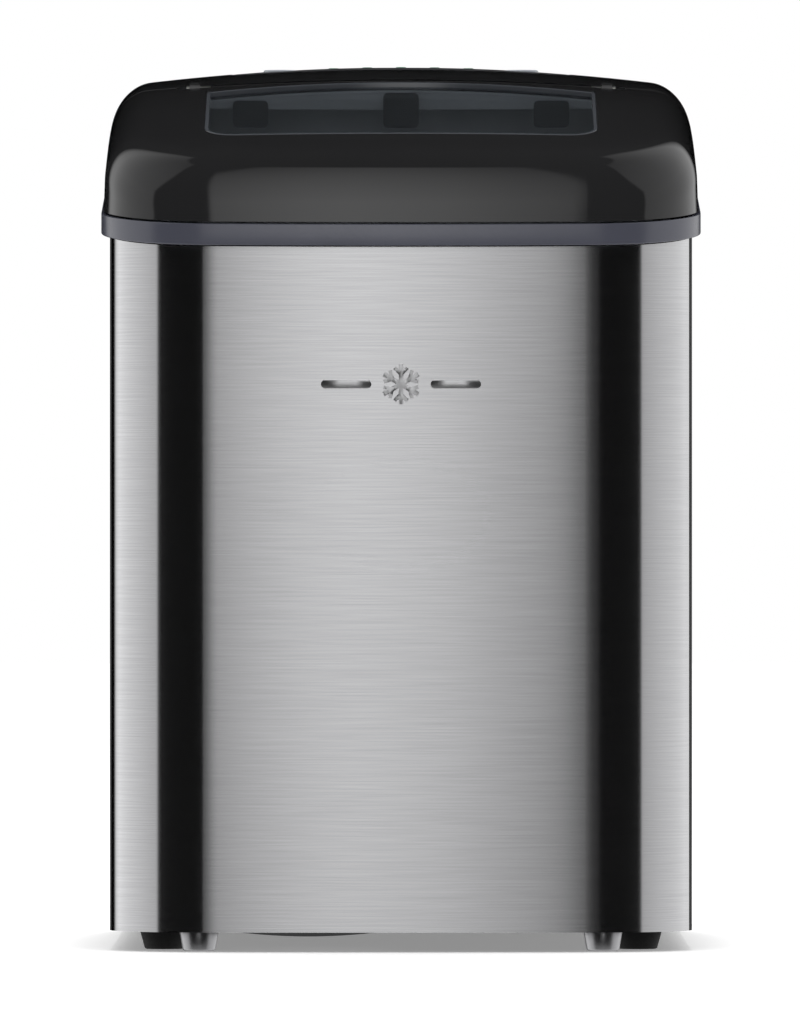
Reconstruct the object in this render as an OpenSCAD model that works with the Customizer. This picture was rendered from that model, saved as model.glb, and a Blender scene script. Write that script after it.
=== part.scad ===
// Countertop bullet-ice maker: sheet-metal body, sloping trim band, domed hinged lid and its machinery.
// +X right, +Y back, +Z up, millimetres. The origin is the bottom centre, on the surface it stands on.

/* [Body] */
// Overall width, measured at the trim band
body_w = 242; // [238:1:250]
// Overall depth, measured at the trim band
body_d = 360; // [356:1:370]
// Height of the panels' lower edge above the surface
foot_h = 8; // [6:0.5:12]
// Height of the trim band's lower face at the very front
band_z = 283.4; // [280:0.2:286]
// Slope of the trim band, rising to the back, in degrees
band_tilt = 7; // [6.5:0.1:7.5]
// Vertical height of the trim band
band_h = 8.6; // [7:0.2:10]
// Radius of the trim band's front corners in plan
corner_r = 44.5; // [42:0.5:46]
// Radius of the rear corners in plan
rear_r = 21.5; // [20:0.5:24]
// Radius of the slight outward bow of the front
bow_r = 1200; // [900:50:2000]
// Inset of the panels from the trim band
panel_inset = 3.5; // [3:0.1:4]

/* [Top housing] */
// Height of the highest point of the housing
crest_z = 362; // [361:0.5:364]
// Distance of that point from the front
crest_d = 257; // [250:1:262]
// Wall thickness of the lid and the rear cover
shell_t = 2.5; // [2:0.1:3]
// Distance of the hinge axis from the front
hinge_d = 150; // [149:0.5:151]
// Height of the hinge axis
hinge_z = 350; // [349.6:0.1:350.2]

/* [Window] */
// Half width of the window rim
window_hw = 79.4; // [76:0.2:80]
// Distance of the rim's front edge from the front
window_d = 39; // [36:1:44]
// Width of the rim
rim_w = 1.6; // [1.4:0.1:3]

/* [Ice making] */
// Half width of the water tray
tray_hw = 56; // [54:0.5:56]
// Number of fingers in the front row of the evaporator
front_fingers = 5; // [3:1:5]
// Spacing of the fingers
finger_pitch = 20; // [18:0.5:20]
// Radius of a finger
finger_r = 4; // [3:0.25:4.5]

/* [Machinery] */
// Radius of the compressor's can
compressor_r = 46; // [40:1:47]
// Radius of the fan
fan_r = 42; // [36:1:43]
// Number of fan blades
fan_blades = 5; // [3:1:7]

/* [Hidden] */
$fn = 48;

black = [0.05, 0.05, 0.055];
steel = [0.72, 0.73, 0.74];
band_grey = [0.33, 0.36, 0.4];
smoke = [0.2, 0.23, 0.26, 0.6];
white_plastic = [0.86, 0.87, 0.88];
copper = [0.72, 0.45, 0.3];

half_w = body_w / 2;
y_front = -body_d / 2;
y_back = body_d / 2;
front_cx = half_w - corner_r;
front_cy = y_front + bow_r - sqrt(pow(bow_r - corner_r, 2) - front_cx * front_cx);
rear_cx = half_w - rear_r;
rear_cy = y_back - rear_r;
bow_a = asin(front_cx / (bow_r - corner_r));
bow_x = bow_r * sin(bow_a);
big = 500;
far = 200;

reveal = 0.8;
steel_t = 1.2;
side_t = 2;
pan_t = 3;
pan_top = foot_h + pan_t + 0.1;
slot_pitch = 9;
seam_y = -141.7;
back_seam_y = 150;
lid_base_z = band_z + band_h + reveal;
hinge_y = y_front + hinge_d;
barrel_hw = 78;
barrel_gap = 0.3;
bracket_x = 84.6;
liner_rear_z = 341.5;
liner_drop = 7.6;
lens_t = 2;
lens_drop = 1.6;
liner_t = 2.4;
window_arc_r = 230;
window_rear_y = hinge_y - 8;
pin_r = 1.5;
running_gap = 0.06;
deck_z = band_z + 1.6;
deck_t = 2.4;

tub_hw = 98;
tub_y0 = -158;
tub_y1 = 42;
tub_z0 = 60;
tub_t = 3;
tray_y = 18;
tray_z = 246;
shovel_y = -30;
shovel_z = 262;
plate_x = 70;
pump_x = 70;
pump_y = 10;
float_x = -70;
float_y = 10;
drain_x = -37.5;
drain_y = -125;
tube_r = 3.5;
pipe_a_x = -57;
pipe_b_x = -66;
pipe_z = 266;

compressor_x = -56;
compressor_y = 108;
fan_y = 110;
fan_z = 88;
gland_x = 70;
gland_z = 34;
panel_y0 = 20;
panel_y1 = 68;
button_x = 50;
button_y = 44;
button_r = 7;
button_proud = 0.3;

// ---- plan outline of the body and its tilted planes ----

// Plan outline at a distance inside the trim band's own outline
module plan(inset) {
    for (s = [-1, 1]) {
        translate([s * front_cx, front_cy]) circle(r = corner_r - inset, $fn = 96);
        translate([s * rear_cx, rear_cy]) circle(r = rear_r - inset, $fn = 96);
    }
    intersection() {
        translate([0, y_front + bow_r]) circle(r = bow_r - inset, $fn = 720);
        translate([-bow_x, y_front - 1]) square([2 * bow_x, front_cy - y_front + 1]);
    }
    translate([inset - half_w, front_cy]) square([2 * (half_w - inset), rear_cy - front_cy]);
    translate([-rear_cx, front_cy]) square([2 * rear_cx, y_back - inset - front_cy]);
}

module plan_ring(inset, t) {
    difference() {
        plan(inset);
        plan(inset + t);
    }
}

// Everything between two planes parallel to the trim band, given by their heights at the front
module band_slab(z0, z1) {
    translate([0, y_front, z0]) rotate([band_tilt, 0, 0])
        translate([-far, -60, 0]) cube([2 * far, big, (z1 - z0) * cos(band_tilt)]);
}

module under_band(z1) {
    band_slab(z1 - big, z1);
}

module y_range(y0, y1) {
    translate([-far, y0, -big / 2]) cube([2 * far, y1 - y0, 2 * big]);
}

module x_cylinder(r, x0, x1) {
    translate([x0, 0, 0]) rotate([0, 90, 0]) cylinder(r = r, h = x1 - x0);
}

module y_cylinder(r, y0, y1) {
    translate([0, y0, 0]) rotate([-90, 0, 0]) cylinder(r = r, h = y1 - y0);
}

// ---- the domed housing, as one closed skin between two offsets ----

function clamp01(v) = min(1, max(0, v));

function top_z(x, y) = let (
        d = y - y_front,
        crown = 6.5e-4 * (0.15 + 0.85 * clamp01((d - 20) / 237)),
        fall = d < crest_d ? 6.87e-4 : 3e-4
    ) crest_z - fall * pow(crest_d - d, 2) - crown * x * x;

// Stations round the plan, each a point and its inward normal
half_loop = concat(
    [for (i = [0 : 4]) let (a = bow_a * i / 5)
        [bow_r * sin(a), y_front + bow_r * (1 - cos(a)), -sin(a), cos(a)]],
    [for (i = [0 : 8]) let (a = bow_a + (90 - bow_a) * i / 9)
        [front_cx + corner_r * sin(a), front_cy - corner_r * cos(a), -sin(a), cos(a)]],
    [for (i = [0 : 11]) [half_w, front_cy + (rear_cy - front_cy) * i / 12, -1, 0]],
    [for (i = [0 : 4]) let (a = 18 * i)
        [rear_cx + rear_r * cos(a), rear_cy + rear_r * sin(a), -cos(a), -sin(a)]],
    [for (i = [0 : 3]) [rear_cx * (1 - i / 3), y_back, 0, -1]]
);
half_n = len(half_loop);
loop = concat(half_loop, [for (i = [half_n - 2 : -1 : 1]) let (s = half_loop[i])
    [-s[0], s[1], -s[2], s[3]]]);
loop_n = len(loop);

function base_z(y) = lid_base_z + tan(band_tilt) * (y - y_front);
function frontness(y) = clamp01((front_cy - y) / (front_cy - y_front));

// A point of the skin at one station: wall foot, then round the shoulder by angle q
function shoulder_point(s, q, o) = let (
        f = frontness(s[1]),
        a = 16 + 2.5 * f,
        b = 18.5 + 5.5 * f,
        wall = 0.035 * (top_z(s[0], s[1]) - b - base_z(s[1])),
        i = 1 + o + wall + (a - o) * (1 - cos(q)),
        x = s[0] + s[2] * i,
        y = s[1] + s[3] * i
    ) [x, y, top_z(x, y) - o - (b - o) * (1 - sin(q))];
function foot_point(s, o) = let (
        x = s[0] + s[2] * (1 + o),
        y = s[1] + s[3] * (1 + o)
    ) [x, y, base_z(y)];
function crown_point(s, f, o) = let (
        p = shoulder_point(s, 90, o),
        x = p[0] * f,
        y = p[1] * f
    ) [x, y, top_z(x, y) - o];
function skin_points(o) = concat(
    [[0, 0, top_z(0, 0) - o]],
    [for (f = [0.2 : 0.2 : 0.81]) for (s = loop) crown_point(s, f, o)],
    [for (q = [90 : -15 : 0]) for (s = loop) shoulder_point(s, q, o)],
    [for (s = loop) foot_point(s, o)]
);
rings = 12;
skin_n = 1 + rings * loop_n;

// One skin's faces: a fan round its centre, then two triangles for each step round each ring
function skin_faces(start, flip) = [
    for (k = [0 : loop_n - 1]) let (n = (k + 1) % loop_n)
        each [flip ? [start, start + 1 + n, start + 1 + k] : [start, start + 1 + k, start + 1 + n]],
    for (r = [0 : rings - 2]) for (k = [0 : loop_n - 1])
        let (n = (k + 1) % loop_n, p = start + 1 + r * loop_n, q = p + loop_n)
        each (flip ? [[p + k, p + n, q + k], [p + n, q + n, q + k]]
                   : [[p + k, q + k, p + n], [p + n, q + k, q + n]])
];

module housing_skin(outer, inner) {
    rim = 1 + (rings - 1) * loop_n;
    polyhedron(
        points = concat(skin_points(outer), skin_points(inner)),
        faces = concat(
            skin_faces(0, true),
            skin_faces(skin_n, false),
            [for (k = [0 : loop_n - 1]) let (n = (k + 1) % loop_n, p = rim, q = rim + skin_n)
                each [[p + k, p + n, q + k], [p + n, q + n, q + k]]]
        ),
        convexity = 8
    );
}

// ---- outer panels ----

module base_pan() {
    color(black) difference() {
        translate([0, 0, foot_h]) linear_extrude(pan_t) plan(panel_inset + side_t + 0.3);
        translate([drain_x, drain_y, 0]) cylinder(r = 9.2, h = 40);
        for (i = [0 : 7]) translate([14 + slot_pitch * i, 60, 0]) cube([4, 64, 40]);
    }
}

module panel_wall(t, y0, y1, z1) {
    intersection() {
        translate([0, 0, foot_h]) linear_extrude(big - 100) plan_ring(panel_inset, t);
        y_range(y0, y1);
        under_band(z1);
    }
}

module front_panel() {
    color(steel) panel_wall(steel_t, y_front - 10, seam_y, band_z - reveal);
}

// A bank of horizontal cooling slots through both side walls
module louvres(x_side, y0, z0, rows, columns) {
    for (i = [0 : rows - 1], j = [0 : columns - 1])
        translate([x_side > 0 ? half_w - 20 : -half_w - 20, y0 + 40 * j, z0 + slot_pitch * i]) cube([40, 32, 4]);
}

module side_panel(s) {
    color(black) difference() {
        intersection() {
            panel_wall(side_t, seam_y + 0.5, back_seam_y, band_z - reveal);
            translate([s > 0 ? 0 : -far, -far, 0]) cube([far, 2 * far, big]);
        }
        louvres(s, s > 0 ? 60 : 62, 40, 12, 2);
    }
}

module left_side_panel() {
    side_panel(-1);
}

module right_side_panel() {
    side_panel(1);
}

back_screw_x = [-90, -30, 30, 90];
back_screw_z = [22, 300];
module back_panel() {
    color(black) difference() {
        panel_wall(side_t, back_seam_y + 0.4, y_back + 10, band_z - reveal);
        for (i = [0 : 13], s = [-1, 1])
            translate([s > 0 ? 8 : -60, y_back - 20, 70 + slot_pitch * i]) cube([52, 40, 4]);
        translate([gland_x, 0, gland_z]) y_cylinder(8, y_back - 20, y_back + 20);
        for (x = back_screw_x, z = back_screw_z)
            translate([x, 0, z]) y_cylinder(1.7, y_back - 20, y_back + 20);
    }
}

module panel_screws() {
    color(steel) for (x = back_screw_x, z = back_screw_z) translate([x, 0, z]) {
        y_cylinder(1.5, y_back - 14, y_back - panel_inset);
        y_cylinder(3.2, y_back - panel_inset, y_back - panel_inset + 1.8);
    }
}

module cord_gland() {
    color(black) translate([gland_x, 0, gland_z]) difference() {
        union() {
            y_cylinder(7.8, y_back - 14, y_back - panel_inset);
            y_cylinder(10.5, y_back - panel_inset, y_back - 1);
        }
        y_cylinder(4, y_back - 20, y_back + 5);
    }
}

module trim_band() {
    color(band_grey) intersection() {
        translate([0, 0, band_z - 20]) linear_extrude(120) plan_ring(0, 7);
        band_slab(band_z, band_z + band_h);
    }
}

// A bar on each side of a six-armed flake, standing slightly proud of the front
badge_z = 228;
flake_r = 8;
module badge_mark() {
    bar_l = 17;
    bar_w = 3.2;
    for (s = [-1, 1]) translate([s * 22, 0]) {
        square([bar_l, bar_w], center = true);
        for (e = [-1, 1]) translate([e * bar_l / 2, 0]) circle(r = bar_w / 2);
    }
    for (a = [0 : 60 : 300]) rotate(a) {
        translate([-0.9, 0]) square([1.8, flake_r]);
        for (s = [-1, 1]) translate([0, 4]) rotate(s * 45) translate([-0.7, 0]) square([1.4, 3.6]);
    }
}

module front_badge() {
    badge_t = 0.9;
    color(steel) intersection() {
        translate([0, 0, badge_z - 20]) linear_extrude(40) plan_ring(panel_inset - badge_t, badge_t);
        translate([0, y_front + 30, badge_z]) rotate([90, 0, 0]) linear_extrude(60) badge_mark();
    }
}

// ---- feet and drain ----

module foot(x, y, r_top, r_base) {
    translate([x, y, 0]) cylinder(r1 = r_base, r2 = r_top, h = foot_h);
}

module front_feet() {
    color(steel) for (s = [-1, 1]) foot(81.4 * s, y_front + 35, 8, 6.7);
}

module front_corner_feet() {
    color(black) for (s = [-1, 1]) foot(95.8 * s, y_front + 61, 10, 8);
}

module rear_corner_feet() {
    color(black) for (s = [-1, 1]) foot(95.8 * s, y_back - 40, 10, 8);
}

module drain_cap() {
    cap_r = 35;
    cap_h = 2.6;
    dome_r = (cap_r * cap_r + cap_h * cap_h) / (2 * cap_h);
    color(black) translate([drain_x, drain_y, 0]) {
        intersection() {
            translate([0, 0, foot_h - 0.2 - cap_h + dome_r]) sphere(r = dome_r, $fn = 240);
            translate([0, 0, foot_h - 0.2 - cap_h - 1]) cylinder(r = cap_r + 1, h = cap_h + 1, $fn = 96);
        }
        translate([0, 0, foot_h - 0.3]) cylinder(r = 5.95, h = 14);
    }
}

module drain_outlet() {
    color(white_plastic) translate([drain_x, drain_y, 0]) difference() {
        union() {
            translate([0, 0, foot_h + 0.2]) cylinder(r = 9, h = tub_z0 - foot_h - 0.2);
            translate([0, 0, foot_h + pan_t]) cylinder(r = 14, h = 2);
        }
        cylinder(r = 6, h = 100);
    }
}

// ---- tub ----

module tub_box(grow, z0) {
    translate([-tub_hw - grow, tub_y0 - grow, z0])
        cube([2 * (tub_hw + grow), tub_y1 - tub_y0 + 2 * grow, big]);
}

module tub() {
    color(white_plastic) difference() {
        intersection() {
            union() {
                difference() {
                    tub_box(0, tub_z0);
                    tub_box(-tub_t, tub_z0 + tub_t);
                }
                for (s = [-1, 1]) translate([s > 0 ? 83 : -96, -150, 94]) cube([13, 106, 5.5]);
            }
            under_band(deck_z - 0.1);
        }
        translate([drain_x, drain_y, 0]) cylinder(r = 6, h = 80);
        for (x = [pipe_a_x, pipe_b_x])
            translate([x, 0, pipe_z]) y_cylinder(tube_r + 0.6, 20, 60);
    }
}

module tub_foam() {
    color([0.9, 0.87, 0.7]) difference() {
        translate([0, 0, 62]) linear_extrude(206) intersection() {
            plan(panel_inset + side_t + 1);
            translate([-far, -far]) square([2 * far, far + tub_y1]);
        }
        tub_box(0.3, 40);
    }
}

module tub_deck() {
    color(white_plastic) difference() {
        intersection() {
            translate([0, 0, 250]) linear_extrude(100) intersection() {
                plan(7.4);
                translate([-far, -far]) square([2 * far, far + tub_y1 + 5]);
            }
            band_slab(deck_z, deck_z + deck_t);
        }
        tub_box(-tub_t, tub_z0);
    }
}

module bulkhead() {
    color(steel) difference() {
        intersection() {
            translate([8 - half_w, tub_y1 + 1.5, pan_top + 0.1]) cube([body_w - 16, 1.5, 330]);
            under_band(deck_z - 0.1);
        }
        for (x = [pipe_a_x, pipe_b_x])
            translate([x, 0, pipe_z]) y_cylinder(tube_r + 0.6, 20, 60);
    }
}

// ---- lid ----

module window_plan(inset) {
    cut_r = 12;
    front_y = y_front + window_d;
    intersection() {
        translate([0, window_rear_y - window_arc_r]) circle(r = window_arc_r - inset, $fn = 240);
        union() {
            for (s = [-1, 1]) translate([s * (window_hw - cut_r), front_y + cut_r]) circle(r = cut_r - inset);
            translate([inset - window_hw, front_y + cut_r]) square([2 * (window_hw - inset), far]);
            translate([cut_r - window_hw, front_y + inset]) square([2 * (window_hw - cut_r), far]);
        }
    }
}

module window_prism(inset) {
    translate([0, 0, 280]) linear_extrude(100) window_plan(inset);
}

module window_band(inset, t) {
    translate([0, 0, 280]) linear_extrude(100) difference() {
        window_plan(inset);
        window_plan(inset + t);
    }
}

notch_hw = 92;
notch_l = 5;
module lid_shell() {
    color(black) difference() {
        intersection() {
            housing_skin(0, shell_t);
            y_range(y_front - 10, hinge_y - 0.4);
        }
        window_prism(0);
        translate([-notch_hw, hinge_y - notch_l, 300]) cube([2 * notch_hw, 40, 100]);
    }
}

module lid_window() {
    color(smoke) intersection() {
        housing_skin(lens_drop, lens_drop + lens_t);
        window_prism(rim_w + 0.1);
    }
}

module window_rim() {
    color(band_grey) intersection() {
        housing_skin(-0.15, shell_t + 0.5);
        window_band(0.05, rim_w);
    }
}

// The liner's lower edge: level along the rear arch, then parallel to the crown towards the front
module above_liner_edge() {
    ys = [for (i = [0 : 16]) -150 + 7.5 * i];
    edge = [for (y = ys) [y, min(liner_rear_z, top_z(0, y) - liner_drop)]];
    translate([-far, 0, 0]) rotate([90, 0, 90]) linear_extrude(2 * far)
        polygon(concat([[-30, 400], [-150, 400]], edge));
}

module window_liner() {
    color(band_grey) intersection() {
        housing_skin(shell_t + 0.6, 14);
        window_band(-liner_t / 2, liner_t);
        above_liner_edge();
    }
}

module window_clips() {
    clip_w = 14.5;
    clip_t = 2.6;
    clip_z = 334;
    color(black) {
        for (x = [-61.5, 0, 61.5]) {
            reach = abs(x) + clip_w / 2;
            wall_y = window_rear_y - window_arc_r + sqrt(pow(window_arc_r, 2) - reach * reach) - liner_t / 2;
            clip_top = top_z(reach, wall_y - clip_t) - lens_drop - lens_t - 0.3;
            translate([0, wall_y - 0.3, 0]) rotate([90, 0, 0]) linear_extrude(clip_t)
                rounded_box(x - clip_w / 2, clip_z, x + clip_w / 2, clip_top, 2);
        }
        translate([-2.6, window_rear_y - 7.2, clip_z + 1]) cube([5.2, 2, 4]);
    }
}

function barrel_r(x) = top_z(x, hinge_y) - hinge_z - barrel_gap;

// A long crowned round, thickest in the middle, about the hinge axis
module crowned_round(grow, hw) {
    n = 12;
    translate([0, hinge_y, hinge_z]) rotate([0, 90, 0]) rotate_extrude($fn = 48)
        polygon(concat([[0, -hw]],
            [for (i = [0 : n]) let (x = hw * (2 * i / n - 1)) [max(0.4, barrel_r(x)) + grow, x]],
            [[0, hw]]));
}

module hinge_barrel() {
    color(black) difference() {
        crowned_round(0, barrel_hw);
        for (s = [-1, 1]) translate([0, hinge_y, hinge_z])
            x_cylinder(pin_r - 0.8, s > 0 ? barrel_hw - 6 : -barrel_hw, s > 0 ? barrel_hw : 6 - barrel_hw);
    }
}

module hinge_pins() {
    color(steel) for (s = [-1, 1]) translate([0, hinge_y, hinge_z]) {
        x_cylinder(pin_r - 0.8, s > 0 ? barrel_hw - 6 : -barrel_hw, s > 0 ? barrel_hw : 6 - barrel_hw);
        x_cylinder(pin_r, s > 0 ? barrel_hw : -88, s > 0 ? 88 : -barrel_hw);
    }
}

// Upright wall that closes the front of the rear cover behind the hinge
module housing_wall() {
    wall_y = -20;
    edge_x = 98;
    foot_z = deck_z + deck_t + 0.4 + tan(band_tilt) * (wall_y - y_front);
    color(black) translate([0, wall_y, 0]) rotate([90, 0, 0]) linear_extrude(1.6) polygon(concat(
        [[-half_w + 9, foot_z], [half_w - 9, foot_z], [half_w - 9, 330]],
        [for (i = [0 : 8]) let (x = edge_x * (1 - i / 4)) [x, top_z(x, wall_y) - shell_t - 0.5]],
        [[9 - half_w, 330]]
    ));
}

module hinge_brackets() {
    color(black) for (s = [-1, 1]) difference() {
        translate([bracket_x * s - 2.2, 0, 0]) {
            translate([0, hinge_y, hinge_z]) x_cylinder(3, 0, 4.4);
            difference() {
                translate([0, hinge_y - 3, 300]) cube([4.4, 9, hinge_z - 300 - 2]);
                translate([-1, hinge_y - 4, hinge_z - 8]) cube([6.4, 1.4, 10]);
            }
        }
        translate([0, hinge_y, hinge_z]) x_cylinder(pin_r + running_gap, -100, 100);
        under_band(deck_z + deck_t);
    }
}

// ---- rear cover and its controls ----

module panel_outline(grow) {
    r = 8;
    x = 70 - r;
    for (s = [-1, 1], y = [panel_y0 + r, panel_y1 - r]) translate([s * x, y]) circle(r = r + grow);
    translate([-x - r - grow, panel_y0 + r]) square([2 * (x + r + grow), panel_y1 - panel_y0 - 2 * r]);
    translate([-x, panel_y0 - grow]) square([2 * x, panel_y1 - panel_y0 + 2 * grow]);
}

module rear_cover() {
    color(black) difference() {
        intersection() {
            housing_skin(0, shell_t);
            y_range(hinge_y + 0.6, y_back + 10);
        }
        translate([0, 0, 280]) linear_extrude(100) panel_outline(0.2);
        crowned_round(barrel_gap + 0.5, notch_hw);
        for (s = [-1, 1])
            translate([bracket_x * s - 2.8, hinge_y - 1, hinge_z - 10]) cube([5.6, 7.5, 20]);
    }
}

lens_x = [-28, -14, 0, 14, 28];
lens_y = 54;
lens_r = 2;
module control_panel() {
    color(black) difference() {
        intersection() {
            housing_skin(0, shell_t);
            translate([0, 0, 280]) linear_extrude(100) panel_outline(0);
        }
        for (s = [-1, 1]) translate([s * button_x, button_y, 300]) cylinder(r = button_r + 0.35, h = 100);
        for (x = lens_x) translate([x, lens_y, 300]) cylinder(r = lens_r, h = 100);
    }
}

module button(x) {
    z = top_z(x, button_y);
    flange_z = z - 6.4;
    edge = 0.4;
    color(band_grey) translate([x, button_y, 0]) {
        translate([0, 0, flange_z]) cylinder(r = button_r, h = z + button_proud - edge - flange_z);
        translate([0, 0, z + button_proud - edge]) cylinder(r1 = button_r, r2 = button_r - edge, h = edge);
        translate([0, 0, flange_z]) cylinder(r = button_r + 1.2, h = 1.4);
    }
}

module power_button() {
    button(-button_x);
}

module select_button() {
    button(button_x);
}

module indicator_lenses() {
    lens_h = 6;
    color([0.6, 0.8, 0.65]) for (x = lens_x) translate([x, lens_y, top_z(x, lens_y) + 0.05 - lens_h])
        cylinder(r = lens_r - 0.02, h = lens_h);
}

board_z = 340;
module control_board() {
    color([0.1, 0.4, 0.22]) {
        translate([-66, panel_y0 + 4, board_z]) cube([132, 56, 1.6]);
        translate([-20, panel_y0 + 10, board_z - 14]) cube([26, 22, 13.9]);
        for (i = [0 : 2]) translate([16 + 15 * i, panel_y0 + 12, board_z - 9]) cube([10, 14, 8.9]);
    }
}

module button_switches() {
    color(black) for (x = [-button_x, button_x]) translate([x, button_y, board_z + 1.6]) {
        translate([-3, -3, 0]) cube([6, 6, 6]);
        translate([0, 0, 6]) cylinder(r = 1.75, h = top_z(x, button_y) - 7.6 - board_z - 7.6);
    }
}

// ---- ice making ----

basket_hw = 86;
basket_y0 = -151;
basket_y1 = -40;
basket_z0 = 100;
basket_z1 = 262;
basket_back_z = 164;
module rounded_box(x0, y0, x1, y1, r) {
    for (x = [x0 + r, x1 - r], y = [y0 + r, y1 - r]) translate([x, y]) circle(r = r);
    translate([x0 + r, y0]) square([x1 - x0 - 2 * r, y1 - y0]);
    translate([x0, y0 + r]) square([x1 - x0, y1 - y0 - 2 * r]);
}

module ice_basket() {
    t = 2;
    color(white_plastic) difference() {
        translate([0, 0, basket_z0]) linear_extrude(basket_z1 - basket_z0)
            rounded_box(-basket_hw, basket_y0, basket_hw, basket_y1, 10);
        translate([0, 0, basket_z0 + t]) linear_extrude(big)
            rounded_box(t - basket_hw, basket_y0 + t, basket_hw - t, basket_y1 - t, 8);
        translate([-far, basket_y1 - 12, basket_back_z]) cube([2 * far, 40, 200]);
        for (i = [-6 : 6]) translate([i * 12 - 2.5, basket_y0 - 5, basket_z0 + 14]) cube([5, 20, 60]);
        for (i = [0 : 6], s = [-1, 1])
            translate([s * basket_hw - 5, basket_y0 + 14 + 12 * i, basket_z0 + 14]) cube([10, 5, 40]);
        for (i = [-6 : 6]) translate([i * 12 - 2.5, basket_y0 + 16, basket_z0 - 5]) cube([5, 78, 10]);
        for (s = [-1, 1]) translate([s * basket_hw - 5, -110, basket_z1 - 22]) cube([10, 40, 11]);
    }
}

slide_a = atan2(20, 70);
module ice_slide() {
    color(white_plastic) translate([-plate_x + 0.4, -36, 168]) rotate([slide_a, 0, 0]) difference() {
        cube([2 * plate_x - 0.8, 72, 2]);
        for (i = [0 : 10]) translate([10 + 11.4 * i, 8, -1]) cube([5, 56, 4]);
    }
}

module harvest_frame() {
    color(white_plastic) difference() {
        union() {
            for (s = [-1, 1]) translate([s > 0 ? plate_x : -plate_x - 2.5, -36, 160]) cube([2.5, 66, 112]);
            translate([-plate_x - 2.5, -25, 272]) cube([2 * plate_x + 5, 38, 2.5]);
            for (s = [-1, 1]) translate([s > 0 ? plate_x + 2.5 : -94.8, -20, 268]) cube([22.3, 26, 2.5]);
        }
        translate([0, shovel_y, shovel_z]) x_cylinder(2 + running_gap, -100, 100);
        translate([0, tray_y, tray_z]) x_cylinder(3 + running_gap, -100, 100);
    }
}

evap_y = [-15, 3];
evap_left_x = -48;
evap_right_x = 46;
module finger(x, y) {
    translate([x, y, 238]) cylinder(r = finger_r, h = pipe_z - 238);
    translate([x, y, 238]) sphere(r = finger_r);
}

module quarter_bend(x, y) {
    translate([x, y, pipe_z]) rotate(180) rotate_extrude(angle = 90) translate([9, 0]) circle(r = tube_r);
}

module evaporator() {
    n = front_fingers;
    color(steel) {
        for (i = [0 : n - 1]) finger((i - (n - 1) / 2) * finger_pitch, evap_y[0]);
        for (i = [0 : n - 2]) finger((i - (n - 2) / 2) * finger_pitch, evap_y[1]);
        translate([0, evap_y[0], pipe_z]) x_cylinder(tube_r, pipe_b_x + 9, evap_right_x);
        translate([0, evap_y[1], pipe_z]) x_cylinder(tube_r, evap_left_x, evap_right_x);
        translate([evap_right_x, -6, pipe_z]) rotate(-90) rotate_extrude(angle = 180)
            translate([9, 0]) circle(r = tube_r);
        quarter_bend(evap_left_x, evap_y[1] + 9);
        quarter_bend(pipe_b_x + 9, evap_y[0] + 9);
        translate([pipe_a_x, 0, pipe_z]) y_cylinder(tube_r, evap_y[1] + 9, 60);
        translate([pipe_b_x, 0, pipe_z]) y_cylinder(tube_r, evap_y[0] + 9, 60);
    }
}

tray_y0 = -30;
tray_y1 = 15;
tray_z0 = 225;
tray_z1 = 247;
module water_tray() {
    color(white_plastic) {
        difference() {
            union() {
                translate([-tray_hw, tray_y0, tray_z0]) cube([2 * tray_hw, tray_y1 - tray_y0, tray_z1 - tray_z0]);
                for (s = [-1, 1]) translate([0, tray_y, tray_z])
                    x_cylinder(5, s > 0 ? tray_hw - 4 : -tray_hw, s > 0 ? tray_hw : 4 - tray_hw);
            }
            translate([1.8 - tray_hw, tray_y0 + 1.8, tray_z0 + 1.8])
                cube([2 * tray_hw - 3.6, tray_y1 - tray_y0 - 3.6, 60]);
        }
        for (s = [-1, 1]) translate([0, tray_y, tray_z])
            x_cylinder(3, s > 0 ? tray_hw : -plate_x - 6, s > 0 ? plate_x + 6 : -tray_hw);
    }
}

module tray_motor() {
    color([0.2, 0.2, 0.22]) difference() {
        union() {
            translate([-92, tray_y - 12, tray_z - 24]) cube([19.2, 24, 36]);
            translate([-82.5, tray_y, tray_z - 40]) cylinder(r = 9, h = 16);
        }
        translate([0, tray_y, tray_z]) x_cylinder(3 + running_gap, -78, -60);
    }
}

module ice_shovel() {
    blade_hw = 63;
    color(white_plastic) {
        for (s = [-1, 1]) {
            translate([s > 0 ? 60 : -63, shovel_y - 4, 205]) cube([3, 6, shovel_z - 205]);
            translate([0, shovel_y, shovel_z]) x_cylinder(5, s > 0 ? 60 : -63, s > 0 ? 63 : -60);
            translate([0, shovel_y, shovel_z]) x_cylinder(2, s > 0 ? 63 : -plate_x - 4, s > 0 ? plate_x + 4 : -63);
        }
        translate([-blade_hw, shovel_y - 4, 203]) cube([2 * blade_hw, 2.5, 20]);
        for (i = [-5 : 5]) translate([11 * i - 1, shovel_y - 4, 190]) cube([2, 2.5, 14]);
    }
}

module ice_full_sensors() {
    color(black) for (s = [-1, 1]) translate([0, -90, 269]) {
        x_cylinder(4, s > 0 ? 89 : -95, s > 0 ? 95 : -89);
    }
}

// ---- water ----

module water_pump() {
    color(black) translate([pump_x, pump_y, 0]) {
        difference() {
            union() {
                translate([0, 0, 66]) cylinder(r = 17, h = 17);
                translate([0, 0, 74]) y_cylinder(3.5, 10, 20);
            }
            translate([0, 0, 68]) cylinder(r = 14, h = 20);
            translate([0, 0, 60]) cylinder(r = 6, h = 20);
            translate([0, 0, 74]) y_cylinder(2.2, 5, 25);
        }
        for (a = [45 : 90 : 315]) rotate(a) translate([13, 0, 63]) cylinder(r = 2.5, h = 3);
    }
}

module pump_motor() {
    color([0.15, 0.15, 0.16]) translate([pump_x, pump_y, 0]) difference() {
        union() {
            translate([0, 0, 83]) cylinder(r = 17, h = 3);
            translate([0, 0, 86]) cylinder(r = 14, h = 24);
        }
        translate([0, 0, 80]) cylinder(r = 1.5 + running_gap, h = 22);
    }
}

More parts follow.
